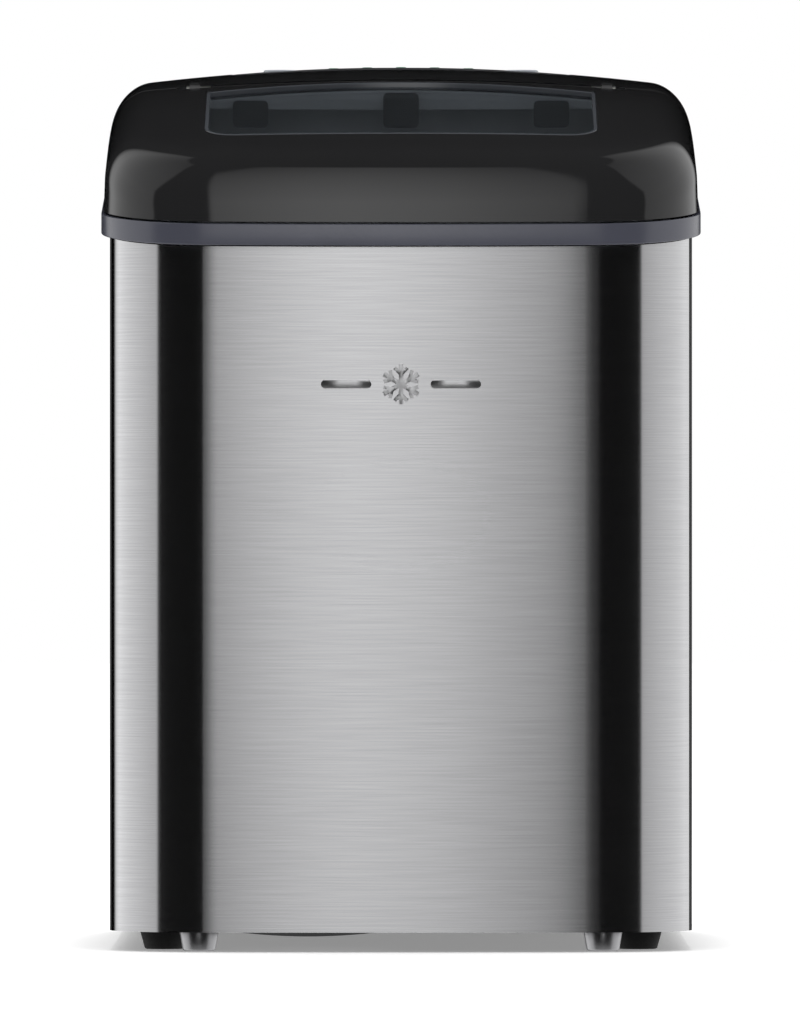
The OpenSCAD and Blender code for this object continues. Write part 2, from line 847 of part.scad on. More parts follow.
module pump_impeller() {
    color(white_plastic) translate([pump_x, pump_y, 0]) {
        translate([0, 0, 78]) cylinder(r = 12.5, h = 1.5);
        for (a = [0 : 72 : 288]) rotate(a) translate([2, -0.75, 70]) cube([10, 1.5, 8.5]);
        translate([0, 0, 69.5]) cylinder(r = 3, h = 9);
        translate([0, 0, 79]) cylinder(r = 1.5, h = 21);
    }
}

module float_stem() {
    color(white_plastic) translate([float_x, float_y, 0]) {
        translate([0, 0, 63]) cylinder(r = 6, h = 2.5);
        translate([0, 0, 65]) cylinder(r = 2, h = 33);
        translate([0, 0, 98]) cylinder(r = 4, h = 1.5);
    }
}

module level_float() {
    color([0.85, 0.85, 0.8]) translate([float_x, float_y, 66]) difference() {
        cylinder(r = 9, h = 14);
        translate([0, 0, -1]) cylinder(r = 2.3, h = 16);
    }
}

// ---- swept tubes ----

function unit(v) = v / norm(v);
function bezier(a, b, c, t) = a * (1 - t) * (1 - t) + b * 2 * t * (1 - t) + c * t * t;

// A route's points with each inner corner rounded off by a short curve
function rounded_route(p, r) = [
    p[0],
    for (i = [1 : len(p) - 2]) let (
            b = unit(p[i - 1] - p[i]) * min(r, norm(p[i - 1] - p[i]) / 2.2),
            f = unit(p[i + 1] - p[i]) * min(r, norm(p[i + 1] - p[i]) / 2.2)
        ) for (t = [0 : 0.25 : 1]) bezier(p[i] + b, p[i], p[i] + f, t),
    p[len(p) - 1]
];
function tangent_at(p, i) = unit(p[min(i + 1, len(p) - 1)] - p[max(i - 1, 0)]);
function carried(u, t) = unit(u - t * (u * t));
function side_at(p, i) = i == 0
    ? let (t = tangent_at(p, 0)) unit(cross(t, abs(t[2]) < 0.9 ? [0, 0, 1] : [1, 0, 0]))
    : carried(side_at(p, i - 1), tangent_at(p, i));

module tube(route, r, bend, sides = 8) {
    p = rounded_route(route, bend);
    n = len(p);
    polyhedron(
        points = [for (i = [0 : n - 1]) let (t = tangent_at(p, i), u = side_at(p, i), v = cross(t, u))
            for (k = [0 : sides - 1]) p[i] + r * (u * cos(360 * k / sides) + v * sin(360 * k / sides))],
        faces = concat(
            [[for (k = [0 : sides - 1]) k]],
            [[for (k = [sides - 1 : -1 : 0]) (n - 1) * sides + k]],
            [for (i = [0 : n - 2], k = [0 : sides - 1]) let (a = i * sides, m = (k + 1) % sides)
                each [[a + k, a + sides + k, a + m], [a + m, a + sides + k, a + sides + m]]]
        ),
        convexity = 10
    );
}

hose_route = [
    [pump_x, 30.2, 74], [pump_x, 34, 76], [74, 34, 100], [84, 33.5, 124], [84, 33, 268],
    [80, 28, 281], [60, 24, 282], [28, 21, 282], [20, 20, 272], [20, 16, 258]
];
module water_hose() {
    color([0.85, 0.88, 0.9]) tube(hose_route, 3.5, 9);
}

// ---- machinery ----

module compressor() {
    r = compressor_r;
    color(black) translate([compressor_x, compressor_y, 0]) {
        rotate_extrude($fn = 96) polygon([[0, 22], [r - 12, 22], [r - 4, 25], [r, 32], [r, 104],
            [r - 2, 113], [r - 8, 122], [r - 18, 129], [0, 134]]);
        for (a = [90 : 120 : 330]) rotate(a) difference() {
            translate([r - 14, -11, 19]) cube([22, 22, 3]);
            translate([r + 1, 0, 10]) cylinder(r = 4.1, h = 20);
        }
    }
}

module compressor_mounts() {
    color([0.1, 0.1, 0.1]) translate([compressor_x, compressor_y, 0])
        for (a = [90 : 120 : 330]) rotate(a) translate([compressor_r + 1, 0, foot_h + pan_t]) {
            cylinder(r = 7, h = 16 - foot_h);
            cylinder(r = 4, h = 24 - foot_h);
        }
}

module compressor_relay() {
    color([0.12, 0.12, 0.13])
        translate([compressor_x + compressor_r + 1, compressor_y - 20, 60]) cube([16, 40, 46]);
}

module fan_motor() {
    color([0.3, 0.3, 0.32]) translate([0, fan_y, fan_z]) difference() {
        x_cylinder(18, 24, 54);
        x_cylinder(2.5 + running_gap, 40, 60);
    }
    color(steel) difference() {
        translate([30, fan_y - 4, pan_top]) cube([12, 8, fan_z - 17 - pan_top]);
        translate([0, fan_y, fan_z]) x_cylinder(18, 20, 60);
    }
}

module fan_blade() {
    color(white_plastic) translate([0, fan_y, fan_z]) {
        x_cylinder(2.5, 42, 58);
        x_cylinder(11, 57, 69);
        for (i = [0 : fan_blades - 1]) rotate([i * 360 / fan_blades, 0, 0])
            translate([63, 0, 0]) rotate([0, 0, 28]) translate([-1, -9, 9]) cube([2, 18, fan_r - 12]);
    }
}

module fan_shroud() {
    color(black) difference() {
        translate([74, fan_y - 50, pan_top]) cube([3, 100, 136]);
        translate([0, fan_y, fan_z]) x_cylinder(fan_r + 3, 60, 90);
    }
}

condenser_y0 = 62;
condenser_y1 = 158;
module condenser() {
    color([0.6, 0.6, 0.62]) {
        for (i = [0 : 23]) translate([80, condenser_y0 + 2 + 4 * i, foot_h + 5]) cube([24, 0.6, 132]);
        for (y = [condenser_y0, condenser_y1]) translate([79, y - 0.8, pan_top]) cube([26, 1.6, 136]);
    }
    color(copper) for (i = [0 : 5], j = [0 : 1])
        translate([86 + 12 * j, 0, 26 + 22 * i]) y_cylinder(3, condenser_y0 - 4, condenser_y1 + 4);
}

module filter_drier() {
    color(copper) translate([-2, 152, 0]) {
        translate([0, 0, 60]) cylinder(r = 9, h = 60);
        translate([0, 0, 120]) cylinder(r1 = 9, r2 = 3, h = 10);
        translate([0, 0, 50]) cylinder(r1 = 3, r2 = 9, h = 10);
        translate([0, 0, 40]) cylinder(r = 2.5, h = 10);
        translate([0, 0, 130]) cylinder(r = 2.5, h = 8);
    }
}

module gas_valve() {
    color(steel) translate([4, 66, 0]) {
        translate([0, 0, 150]) cylinder(r = 5, h = 20);
        translate([-11, -9, 170]) cube([22, 18, 26]);
        translate([0, 0, 196]) cylinder(r = 4, h = 6);
    }
}

module refrigerant_lines() {
    color(copper) {
        tube([[compressor_x, compressor_y, 134.2], [compressor_x, compressor_y, 160],
            [40, compressor_y, 170], [86, 150, 176], [86, condenser_y1 + 11, 160],
            [86, condenser_y1 + 11, 136], [86, condenser_y1 + 4.2, 136]], 2.5, 10);
        tube([[86, condenser_y1 + 4.2, 26], [86, condenser_y1 + 11, 24], [60, 166, 18], [10, 166, 18],
            [-2, 162, 22], [-2, 152, 28], [-2, 152, 39.8]], 2.5, 6);
        tube([[-2, 152, 138.2], [-2, 152, 220], [pipe_a_x, 100, 266], [pipe_a_x, 60.2, 266]], 2.2, 12);
        tube([[pipe_b_x, 60.2, 266], [pipe_b_x, 84, 266], [-88, 96, 240], [-88, 104, 150],
            [-88, 106, 130]], 3, 12);
        tube([[4, 66, 149.8], [4, 66, 146], [4, 76, 140]], 2.2, 4);
    }
}

base_pan();
front_panel();
left_side_panel();
right_side_panel();
back_panel();
trim_band();
front_badge();
front_feet();
rear_corner_feet();
front_corner_feet();
drain_cap();
drain_outlet();
panel_screws();
cord_gland();
tub();
tub_foam();
tub_deck();
bulkhead();
lid_shell();
lid_window();
window_rim();
window_liner();
window_clips();
hinge_barrel();
hinge_pins();
hinge_brackets();
housing_wall();
rear_cover();
control_panel();
power_button();
select_button();
indicator_lenses();
control_board();
button_switches();
ice_basket();
ice_slide();
harvest_frame();
evaporator();
water_tray();
tray_motor();
ice_shovel();
ice_full_sensors();
water_pump();
pump_motor();
pump_impeller();
water_hose();
float_stem();
level_float();
compressor();
compressor_mounts();
compressor_relay();
fan_motor();
fan_blade();
fan_shroud();
condenser();
filter_drier();
gas_valve();
refrigerant_lines();
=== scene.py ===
"""A countertop ice maker: brushed front, trim band, domed lid with a smoked window, and its machinery.

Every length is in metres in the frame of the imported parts: +X right, +Y back, +Z up, origin bottom centre.
"""

import logging
import math
from dataclasses import dataclass, field
from enum import Enum

import bmesh
import bpy
import numpy as np
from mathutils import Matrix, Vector
from mathutils.bvhtree import BVHTree


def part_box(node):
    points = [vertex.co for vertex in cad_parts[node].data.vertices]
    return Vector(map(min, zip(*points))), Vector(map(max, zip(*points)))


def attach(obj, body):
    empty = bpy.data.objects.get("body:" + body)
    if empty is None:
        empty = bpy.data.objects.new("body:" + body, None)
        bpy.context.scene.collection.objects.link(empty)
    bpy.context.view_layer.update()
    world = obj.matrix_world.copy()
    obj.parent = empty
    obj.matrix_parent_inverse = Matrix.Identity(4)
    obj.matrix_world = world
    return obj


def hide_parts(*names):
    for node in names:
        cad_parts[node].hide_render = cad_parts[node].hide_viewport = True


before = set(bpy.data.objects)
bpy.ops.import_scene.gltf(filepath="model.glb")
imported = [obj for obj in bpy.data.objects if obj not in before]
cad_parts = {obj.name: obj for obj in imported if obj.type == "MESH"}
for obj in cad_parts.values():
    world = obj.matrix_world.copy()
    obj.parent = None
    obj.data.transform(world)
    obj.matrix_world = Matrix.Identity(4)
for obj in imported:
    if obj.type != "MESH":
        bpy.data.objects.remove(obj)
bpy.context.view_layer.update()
MM = 0.001
LOG = logging.getLogger("ice_maker")


# ---------------------------------------------------------------- finishes


class Grain(Enum):
    """How a finish's fine texture runs."""

    EVEN = (1.0, 1.0, 1.0)
    BRUSHED = (0.012, 0.012, 1.0)
    DRAWN = (1.0, 1.0, 0.05)


class Graph:
    """A node tree, with short ways to add and join nodes."""

    def __init__(self, owner: bpy.types.Material | bpy.types.World) -> None:
        """Empties the owner's tree and adds its output.

        Args:
            owner: A new material or world.
        """
        owner.use_nodes = True
        self.material = owner
        self.tree = owner.node_tree
        self.tree.nodes.clear()
        world = isinstance(owner, bpy.types.World)
        self.output = self.add("ShaderNodeOutputWorld" if world else "ShaderNodeOutputMaterial")

    def add(self, kind: str, **values: object) -> bpy.types.Node:
        """Adds a node.

        Args:
            kind: The node's type name.
            values: Input names, with underscores for spaces, or plain properties.

        Returns:
            The new node.
        """
        node = self.tree.nodes.new(kind)
        for key, value in values.items():
            socket = key.replace("_", " ")
            if hasattr(node, key):
                setattr(node, key, value)
            else:
                node.inputs[socket].default_value = value
        return node

    def link(self, source: bpy.types.NodeSocket, target: bpy.types.NodeSocket) -> None:
        """Joins two sockets."""
        self.tree.links.new(source, target)

    def noise(self, scale: float, grain: Grain, detail: float = 3.0) -> bpy.types.NodeSocket:
        """Adds noise over the object's own coordinates.

        Args:
            scale: Features per metre.
            grain: How the features are stretched.
            detail: Octaves of detail.

        Returns:
            The noise value, about 0.3 to 0.7.
        """
        place = self.add("ShaderNodeTexCoord")
        stretch = self.add("ShaderNodeMapping")
        stretch.inputs["Scale"].default_value = grain.value
        texture = self.add("ShaderNodeTexNoise", Scale=scale, Detail=detail)
        self.link(place.outputs["Object"], stretch.inputs["Vector"])
        self.link(stretch.outputs["Vector"], texture.inputs["Vector"])
        return texture.outputs["Fac"]

    def spread(self, value: bpy.types.NodeSocket, low: float, high: float) -> bpy.types.NodeSocket:
        """Maps noise to a range of numbers.

        Args:
            value: The noise.
            low: Result where the noise is 0.3.
            high: Result where the noise is 0.7.

        Returns:
            The mapped number.
        """
        ramp = self.add("ShaderNodeMapRange")
        ramp.inputs["From Min"].default_value = 0.3
        ramp.inputs["From Max"].default_value = 0.7
        ramp.inputs["To Min"].default_value = low
        ramp.inputs["To Max"].default_value = high
        self.link(value, ramp.inputs["Value"])
        return ramp.outputs["Result"]

    def tint(self, value: bpy.types.NodeSocket, dark: tuple, light: tuple) -> bpy.types.NodeSocket:
        """Maps noise to a colour between two others.

        Args:
            value: The noise.
            dark: Colour where the noise is low.
            light: Colour where the noise is high.

        Returns:
            The colour.
        """
        ramp = self.add("ShaderNodeValToRGB")
        ramp.color_ramp.elements[0].position = 0.3
        ramp.color_ramp.elements[0].color = (*dark, 1.0)
        ramp.color_ramp.elements[1].position = 0.7
        ramp.color_ramp.elements[1].color = (*light, 1.0)
        self.link(value, ramp.inputs["Fac"])
        return ramp.outputs["Color"]

    def relief(self, value: bpy.types.NodeSocket, height: float, strength: float) -> bpy.types.NodeSocket:
        """Turns noise into a bumped normal.

        Args:
            value: The noise.
            height: How deep the relief is, in metres.
            strength: How much of it shows.

        Returns:
            The normal.
        """
        bump = self.add("ShaderNodeBump", Strength=strength, Distance=height)
        self.link(value, bump.inputs["Height"])
        return bump.outputs["Normal"]

    def compute(self, operation: str, first: bpy.types.NodeSocket,
                second: bpy.types.NodeSocket | float | None = None) -> bpy.types.NodeSocket:
        """Adds one Math node.

        Args:
            operation: The node's operation.
            first: Its first input.
            second: Its second input, a socket or a number.

        Returns:
            The result.
        """
        node = self.add("ShaderNodeMath", operation=operation)
        self.link(first, node.inputs[0])
        if isinstance(second, float):
            node.inputs[1].default_value = second
        elif second is not None:
            self.link(second, node.inputs[1])
        return node.outputs["Value"]

    def levels(self, angle: bpy.types.NodeSocket, stops: list[tuple]) -> bpy.types.NodeSocket:
        """Brightness that runs straight between stops at angles in degrees.

        Args:
            angle: The angle, in radians.
            stops: Pairs of an angle and its brightness, at most 2, in order.

        Returns:
            The brightness.
        """
        first, last = stops[0][0], stops[-1][0]
        span = self.add("ShaderNodeMapRange")
        span.inputs["From Min"].default_value = math.radians(first)
        span.inputs["From Max"].default_value = math.radians(last)
        self.link(angle, span.inputs["Value"])
        ramp = self.add("ShaderNodeValToRGB")
        ramp.color_ramp.interpolation = "LINEAR"
        elements = ramp.color_ramp.elements
        for i, (at, bright) in enumerate(stops):
            share = (at - first) / (last - first)
            stop = elements[0] if i == 0 else elements[-1] if i == len(stops) - 1 else elements.new(share)
            stop.position = share
            stop.color = (bright / 2, bright / 2, bright / 2, 1.0)
        self.link(span.outputs["Result"], ramp.inputs["Fac"])
        return self.compute("MULTIPLY", ramp.outputs["Color"], 2.0)


@dataclass(frozen=True)
class Finish:
    """A surface finish, made of two colours, a roughness and a fine relief.

    Attributes:
        name: The finish's name.
        dark: Its darker colour.
        light: Its lighter colour.
        rough: Lowest and highest roughness.
        grain: How the texture runs.
        scale: Texture features per metre.
        height: Depth of the relief, in metres.
        strength: How much of the relief shows.
        metallic: 1 for bare metal.
        coat: Weight of a clear coat.
        specular: Strength of its mirror-like reflection, 0.5 for common plastics.
        mottle: How much broader the colour's variation is than the relief's.
        brushing: How much horizontal brushing stretches highlights upright.
        glow: Light that it gives off by itself.
    """

    name: str
    dark: tuple
    light: tuple
    rough: tuple = (0.35, 0.45)
    grain: Grain = Grain.EVEN
    scale: float = 400.0
    height: float = 0.00005
    strength: float = 0.2
    metallic: float = 0.0
    coat: float = 0.0
    specular: float = 0.5
    mottle: float = 24.0
    brushing: float = 0.0
    glow: float = 0.0

    def material(self) -> bpy.types.Material:
        """Builds the finish's material, or returns it if it is already there."""
        name = f"finish_{self.name}"
        if name in bpy.data.materials:
            return bpy.data.materials[name]
        graph = Graph(bpy.data.materials.new(name))
        surface = graph.add("ShaderNodeBsdfPrincipled")
        surface.inputs["Metallic"].default_value = self.metallic
        surface.inputs["Coat Weight"].default_value = self.coat
        surface.inputs["Coat Roughness"].default_value = 0.04
        surface.inputs["Specular IOR Level"].default_value = self.specular
        surface.inputs["Emission Color"].default_value = (1.0, 1.0, 1.0, 1.0)
        surface.inputs["Emission Strength"].default_value = self.glow
        fine = graph.noise(self.scale, self.grain)
        broad = graph.noise(self.scale / self.mottle, self.grain)
        graph.link(graph.tint(broad, self.dark, self.light), surface.inputs["Base Color"])
        graph.link(graph.spread(fine, *self.rough), surface.inputs["Roughness"])
        graph.link(graph.relief(fine, self.height, self.strength), surface.inputs["Normal"])
        if self.brushing:
            surface.inputs["Anisotropic"].default_value = self.brushing
            surface.inputs["Anisotropic Rotation"].default_value = 0.25
            turn = graph.add("ShaderNodeTangent", direction_type="RADIAL", axis="Z")
            graph.link(turn.outputs["Tangent"], surface.inputs["Tangent"])
        graph.link(surface.outputs["BSDF"], graph.output.inputs["Surface"])
        return graph.material


@dataclass(frozen=True)
class ClearFinish:
    """A tinted transparent plastic.

    Attributes:
        name: The finish's name.
        tint: Colour that it lets through.
        body: Colour of its own surface.
        solid: How much of its own surface shows head on.
        grazing: How much of its own surface shows edge on.
    """

    name: str
    tint: tuple
    body: tuple
    solid: float = 0.35
    grazing: float = 1.0

    def material(self) -> bpy.types.Material:
        """Builds the finish's material, or returns it if it is already there."""
        name = f"finish_{self.name}"
        if name in bpy.data.materials:
            return bpy.data.materials[name]
        graph = Graph(bpy.data.materials.new(name))
        skin = graph.add("ShaderNodeBsdfPrincipled")
        fine = graph.noise(90.0, Grain.EVEN)
        dark = tuple(0.85 * c for c in self.body)
        graph.link(graph.tint(fine, dark, self.body), skin.inputs["Base Color"])
        graph.link(graph.spread(fine, 0.03, 0.06), skin.inputs["Roughness"])
        through = graph.add("ShaderNodeBsdfTransparent")
        through.inputs["Color"].default_value = (*self.tint, 1.0)
        mixed = graph.add("ShaderNodeMixShader")
        edge = graph.add("ShaderNodeLayerWeight", Blend=0.25)
        amount = graph.add("ShaderNodeMapRange")
        amount.inputs["To Min"].default_value = self.solid
        amount.inputs["To Max"].default_value = self.grazing
        graph.link(edge.outputs["Fresnel"], amount.inputs["Value"])
        graph.link(amount.outputs["Result"], mixed.inputs["Fac"])
        graph.link(through.outputs["BSDF"], mixed.inputs[1])
        graph.link(skin.outputs["BSDF"], mixed.inputs[2])
        graph.link(mixed.outputs["Shader"], graph.output.inputs["Surface"])
        return graph.material


STEEL = Finish("brushed_steel", (0.5, 0.5, 0.51), (0.57, 0.57, 0.58), (0.16, 0.18), Grain.BRUSHED, 4200.0,
               0.000003, 0.08, metallic=1.0, mottle=1.7, brushing=1.0)
GLOSS_BLACK = Finish("gloss_black_moulding", (0.0125, 0.0125, 0.013), (0.0145, 0.0145, 0.015), (0.03, 0.05),
                     scale=220.0, height=0.000002, strength=0.08)
POWDER_BLACK = Finish("black_powder_coat", (0.0125, 0.0125, 0.0135), (0.014, 0.014, 0.015), (0.4, 0.48),
                      scale=1500.0, height=0.00005, strength=0.35, specular=0.12)
BAND_BLUE_GREY = Finish("blue_grey_band", (0.048, 0.05, 0.067), (0.053, 0.055, 0.073), (0.2, 0.26),
                        scale=900.0, height=0.000002, strength=0.05, specular=0.75)
RIM_BLUE_GREY = Finish("blue_grey_rim", (0.045, 0.049, 0.056), (0.052, 0.056, 0.063), (0.12, 0.18),
                       scale=900.0, height=0.000004, strength=0.1)
LINER_GREY = Finish("blue_grey_liner", (0.34, 0.35, 0.36), (0.39, 0.4, 0.41), (0.4, 0.5), scale=1200.0,
                    height=0.00002, strength=0.2)
SLATE = Finish("slate_moulding", (0.36, 0.366, 0.372), (0.42, 0.426, 0.432), (0.5, 0.6), scale=1200.0,
               height=0.00003, strength=0.3)
SATIN_BLACK = Finish("satin_black_moulding", (0.022, 0.022, 0.024), (0.032, 0.032, 0.034), (0.36, 0.48),
                     scale=1400.0, height=0.00003, strength=0.3)
WHITE_MOULDING = Finish("white_moulding", (0.74, 0.75, 0.76), (0.8, 0.81, 0.82), (0.3, 0.4), scale=1100.0,
                        height=0.00002, strength=0.2)
FLOAT_MOULDING = Finish("cream_float", (0.72, 0.68, 0.55), (0.82, 0.78, 0.66), (0.55, 0.7), scale=1800.0,
                        height=0.00008, strength=0.5)
RUBBER = Finish("black_rubber", (0.007, 0.007, 0.007), (0.012, 0.012, 0.012), (0.65, 0.8), scale=1600.0,
                height=0.00006, strength=0.5, specular=0.3)
SILVER_FOOT = Finish("silver_foot", (0.36, 0.36, 0.37), (0.42, 0.42, 0.43), (0.3, 0.36), scale=1300.0,
                     height=0.000006, strength=0.1, metallic=1.0)
BADGE_METAL = Finish("badge_metal", (0.56, 0.56, 0.57), (0.66, 0.66, 0.67), (0.3, 0.36), Grain.BRUSHED,
                     3600.0, 0.000004, 0.1, metallic=1.0, mottle=2.4, brushing=0.6)
ZINC = Finish("zinc_plate", (0.5, 0.5, 0.49), (0.62, 0.62, 0.6), (0.26, 0.4), scale=260.0, height=0.00002,
              strength=0.2, metallic=1.0)
FOAM = Finish("cast_foam", (0.62, 0.55, 0.36), (0.76, 0.7, 0.5), (0.85, 0.95), scale=500.0, height=0.0006,
              strength=0.7)
BUTTON_GREY = Finish("button_grey", (0.26, 0.28, 0.31), (0.3, 0.32, 0.35), (0.24, 0.32), scale=1500.0,
                     height=0.00001, strength=0.2, coat=0.2)
BOARD = Finish("board_lacquer", (0.01, 0.1, 0.045), (0.02, 0.16, 0.07), (0.25, 0.4), scale=700.0,
               height=0.00004, strength=0.3, coat=0.4)
NICKEL = Finish("nickel_plate", (0.66, 0.66, 0.65), (0.74, 0.74, 0.73), (0.12, 0.2), scale=500.0,
                height=0.00001, strength=0.2, metallic=1.0)
SILICONE = Finish("silicone_hose", (0.6, 0.63, 0.65), (0.7, 0.73, 0.75), (0.35, 0.5), scale=600.0,
                  height=0.00003, strength=0.3)
ENAMEL = Finish("black_enamel", (0.012, 0.012, 0.012), (0.02, 0.02, 0.02), (0.12, 0.22), scale=160.0,
                height=0.00012, strength=0.25, coat=0.5)
FIN_ALUMINIUM = Finish("fin_aluminium", (0.6, 0.61, 0.62), (0.72, 0.73, 0.74), (0.3, 0.45), Grain.DRAWN,
                       900.0, 0.00003, 0.3, metallic=1.0)
COPPER = Finish("drawn_copper", (0.62, 0.3, 0.19), (0.78, 0.42, 0.28), (0.2, 0.36), scale=180.0,
                height=0.00003, strength=0.2, metallic=1.0)
FLOOR_WHITE = Finish("pale_floor", (0.92, 0.92, 0.92), (0.94, 0.94, 0.94), (0.7, 0.8), scale=60.0,
                     height=0.0001, strength=0.05, specular=0.0, glow=0.26)
SMOKED = ClearFinish("smoked_window", (0.8, 0.82, 0.84), (0.036, 0.039, 0.041), 0.08, 0.3)
LENS = ClearFinish("indicator_lens", (0.45, 0.8, 0.6), (0.2, 0.42, 0.3), 0.55)


# ---------------------------------------------------------------- mesh helpers


def new_object(name: str, verts: np.ndarray, faces: list, finish: Finish | ClearFinish) -> bpy.types.Object:
    """Makes a smooth-shaded mesh object.

    Args:
        name: The object's name.
        verts: Vertex positions, one row each.
        faces: Vertex numbers of each face.
        finish: The finish it gets.

    Returns:
        The object, linked to the scene.
    """
    mesh = bpy.data.meshes.new(name)
    mesh.from_pydata([tuple(v) for v in verts], [], [tuple(f) for f in faces])
    mesh.validate()
    mesh.shade_smooth()
    mesh.materials.append(finish.material())
    obj = bpy.data.objects.new(name, mesh)
    bpy.context.scene.collection.objects.link(obj)
    return obj


def tube_faces(rings: int, count: int, start: int = 0) -> list[tuple]:
    """Quads between successive closed rings.

    Args:
        rings: Number of rings.
        count: Points in each ring.
        start: Number of the first point.

    Returns:
        The faces.
    """
    faces = []
    for r in range(rings - 1):
        low, high = start + r * count, start + (r + 1) * count
        for k in range(count):
            n = (k + 1) % count
            faces.append((low + k, low + n, high + n, high + k))
    return faces


def sweep(name: str, rings: list[np.ndarray], finish: Finish, sharp: float) -> bpy.types.Object:
    """A closed bead whose section runs from ring to ring and back to the first.

    Args:
        name: Its name.
        rings: Closed rings with the same number of points each.
        finish: Its finish.
        sharp: Edges that turn by more degrees stay sharp.

    Returns:
        The bead.
    """
    n = len(rings[0])
    last = (len(rings) - 1) * n
    faces = tube_faces(len(rings), n)
    faces += [(last + k, last + (k + 1) % n, (k + 1) % n, k) for k in range(n)]
    bead = new_object(name, np.vstack(rings), faces, finish)
    fix_normals(bead)
    bead.data.set_sharp_from_angle(angle=math.radians(sharp))
    return bead


def shell(name: str, skins: list[tuple[np.ndarray, np.ndarray]], count: int, finish: Finish | ClearFinish,
          closed: bool = True) -> bpy.types.Object:
    """A plate or shell made of two skins that meet at their rim.

    Args:
        name: Its name.
        skins: The outer and the inner skin, each all its rings from the middle to the rim, and its middle.
        count: Points in each ring.
        finish: Its finish.
        closed: Whether the rim joins the two skins.

    Returns:
        The shell.
    """
    faces, start = [], 0
    for points, _ in skins:
        faces += tube_faces(len(points) // count, count, start)
        hub = start + len(points)
        faces += [(start + k, start + (k + 1) % count, hub) for k in range(count)]
        start = hub + 1
    size = start // 2
    rim = size - 1 - count
    if closed:
        turn = [(rim + k, rim + (k + 1) % count) for k in range(count)]
        faces += [(k, m, size + m, size + k) for k, m in turn]
    obj = new_object(name, np.vstack([part for skin in skins for part in skin]), faces, finish)
    fix_normals(obj)
    return obj


def quarter_round(radius: float, steps: int) -> list[tuple[float, float]]:
    """Points round a quarter circle, as distances from its two tangents."""
    turn = [math.pi / 2 * k / steps for k in range(steps + 1)]
    return [(radius * (1 - math.sin(a)), radius * (1 - math.cos(a))) for a in turn]


def fix_normals(obj: bpy.types.Object) -> None:
    """Turns every face of a closed mesh outwards and welds doubles."""
    mesh = bmesh.new()
    mesh.from_mesh(obj.data)
    bmesh.ops.remove_doubles(mesh, verts=mesh.verts, dist=1e-7)
    bmesh.ops.recalc_face_normals(mesh, faces=mesh.faces)
    mesh.to_mesh(obj.data)
    mesh.free()


def apply_modifiers(obj: bpy.types.Object) -> None:
    """Replaces an object's mesh with the result of its modifiers."""
    graph = bpy.context.evaluated_depsgraph_get()
    graph.update()
    result = bpy.data.meshes.new_from_object(obj.evaluated_get(graph))
    obj.modifiers.clear()
    old = obj.data
    obj.data = result
    bpy.data.meshes.remove(old)


def cut(obj: bpy.types.Object, tool: bpy.types.Object, operation: str) -> None:
    """Runs a boolean and removes the tool.

    Args:
        obj: The object that is cut.
        tool: The closed object that cuts it.
        operation: INTERSECT or DIFFERENCE.
    """
    step = obj.modifiers.new("cut", "BOOLEAN")
    step.object = tool
    step.operation = operation
    step.solver = "MANIFOLD"
    apply_modifiers(obj)
    bpy.data.objects.remove(tool)


def keep_normals(obj: bpy.types.Object, sources: list[bpy.types.Object], sharp: float = 25.0) -> None:
    """Gives faces that lie on a smooth source surface that surface's own normals, so that cuts don't show.

    Args:
        obj: The cut object.
        sources: The smooth objects as they were before the cut.
        sharp: Faces that differ from the source by more degrees keep their own flat normal.
    """
    trees = []
    for source in sources:
        source.data.calc_loop_triangles()
        points = [v.co.copy() for v in source.data.vertices]
        normals = [v.normal.copy() for v in source.data.vertices]
        corners = [tuple(t.vertices) for t in source.data.loop_triangles]
        trees.append((BVHTree.FromPolygons(points, corners), points, normals, corners))
    limit = math.cos(math.radians(sharp))
    mesh = obj.data
    found = [Vector((0.0, 0.0, 0.0))] * len(mesh.loops)
    for face in mesh.polygons:
        flat = face.normal.copy()
        for loop in face.loop_indices:
            spot = mesh.vertices[mesh.loops[loop].vertex_index].co
            best = flat
            for tree, points, normals, corners in trees:
                place, _, index, gap = tree.find_nearest(spot)
                if place is None or gap > 0.0002:
                    continue
                a, b, c = corners[index]
                pairs = ((b, c), (c, a), (a, b))
                weights = [max(1e-9, _area(place, points[m], points[n])) for m, n in pairs]
                mixed = normals[a] * weights[0] + normals[b] * weights[1] + normals[c] * weights[2]
                mixed.normalize()
                if abs(mixed.dot(flat)) > limit:
                    best = mixed if mixed.dot(flat) > 0 else -mixed
                    break
            found[loop] = best
    mesh.shade_smooth()
    mesh.normals_split_custom_set(found)


def _area(a: Vector, b: Vector, c: Vector) -> float:
    """Twice the area of a triangle."""
    return (b - a).cross(c - a).length


def prism(name: str, outline: np.ndarray, low: float, high: float) -> bpy.types.Object:
    """Makes a closed upright prism to cut with.

    Args:
        name: Its name.
        outline: Plan points, counterclockwise.
        low: Height of its foot.
        high: Height of its top.

    Returns:
        The prism.
    """
    n = len(outline)
    verts = np.vstack([np.column_stack([outline, np.full(n, z)]) for z in (low, high)])
    faces = tube_faces(2, n) + [tuple(range(n - 1, -1, -1)), tuple(range(n, 2 * n))]
    return new_object(name, verts, faces, SATIN_BLACK)


def block(name: str, low: tuple, high: tuple) -> bpy.types.Object:
    """Makes a box between two corners, to cut with."""
    outline = np.array([[low[0], low[1]], [high[0], low[1]], [high[0], high[1]], [low[0], high[1]]])
    return prism(name, outline, low[2], high[2])


def finish_piece(obj: bpy.types.Object, body: str, slot: str, *nodes: str) -> bpy.types.Object:
    """Rides a piece on its body and lets it stand for its nodes.

    Args:
        obj: The piece.
        body: The body that it moves with.
        slot: The record's material slot; not used.
        nodes: The nodes that it replaces.

    Returns:
        The piece.
    """
    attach(obj, body)
    if nodes:
        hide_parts(*nodes)
    LOG.info("made %s on %s", obj.name, body)
    return obj


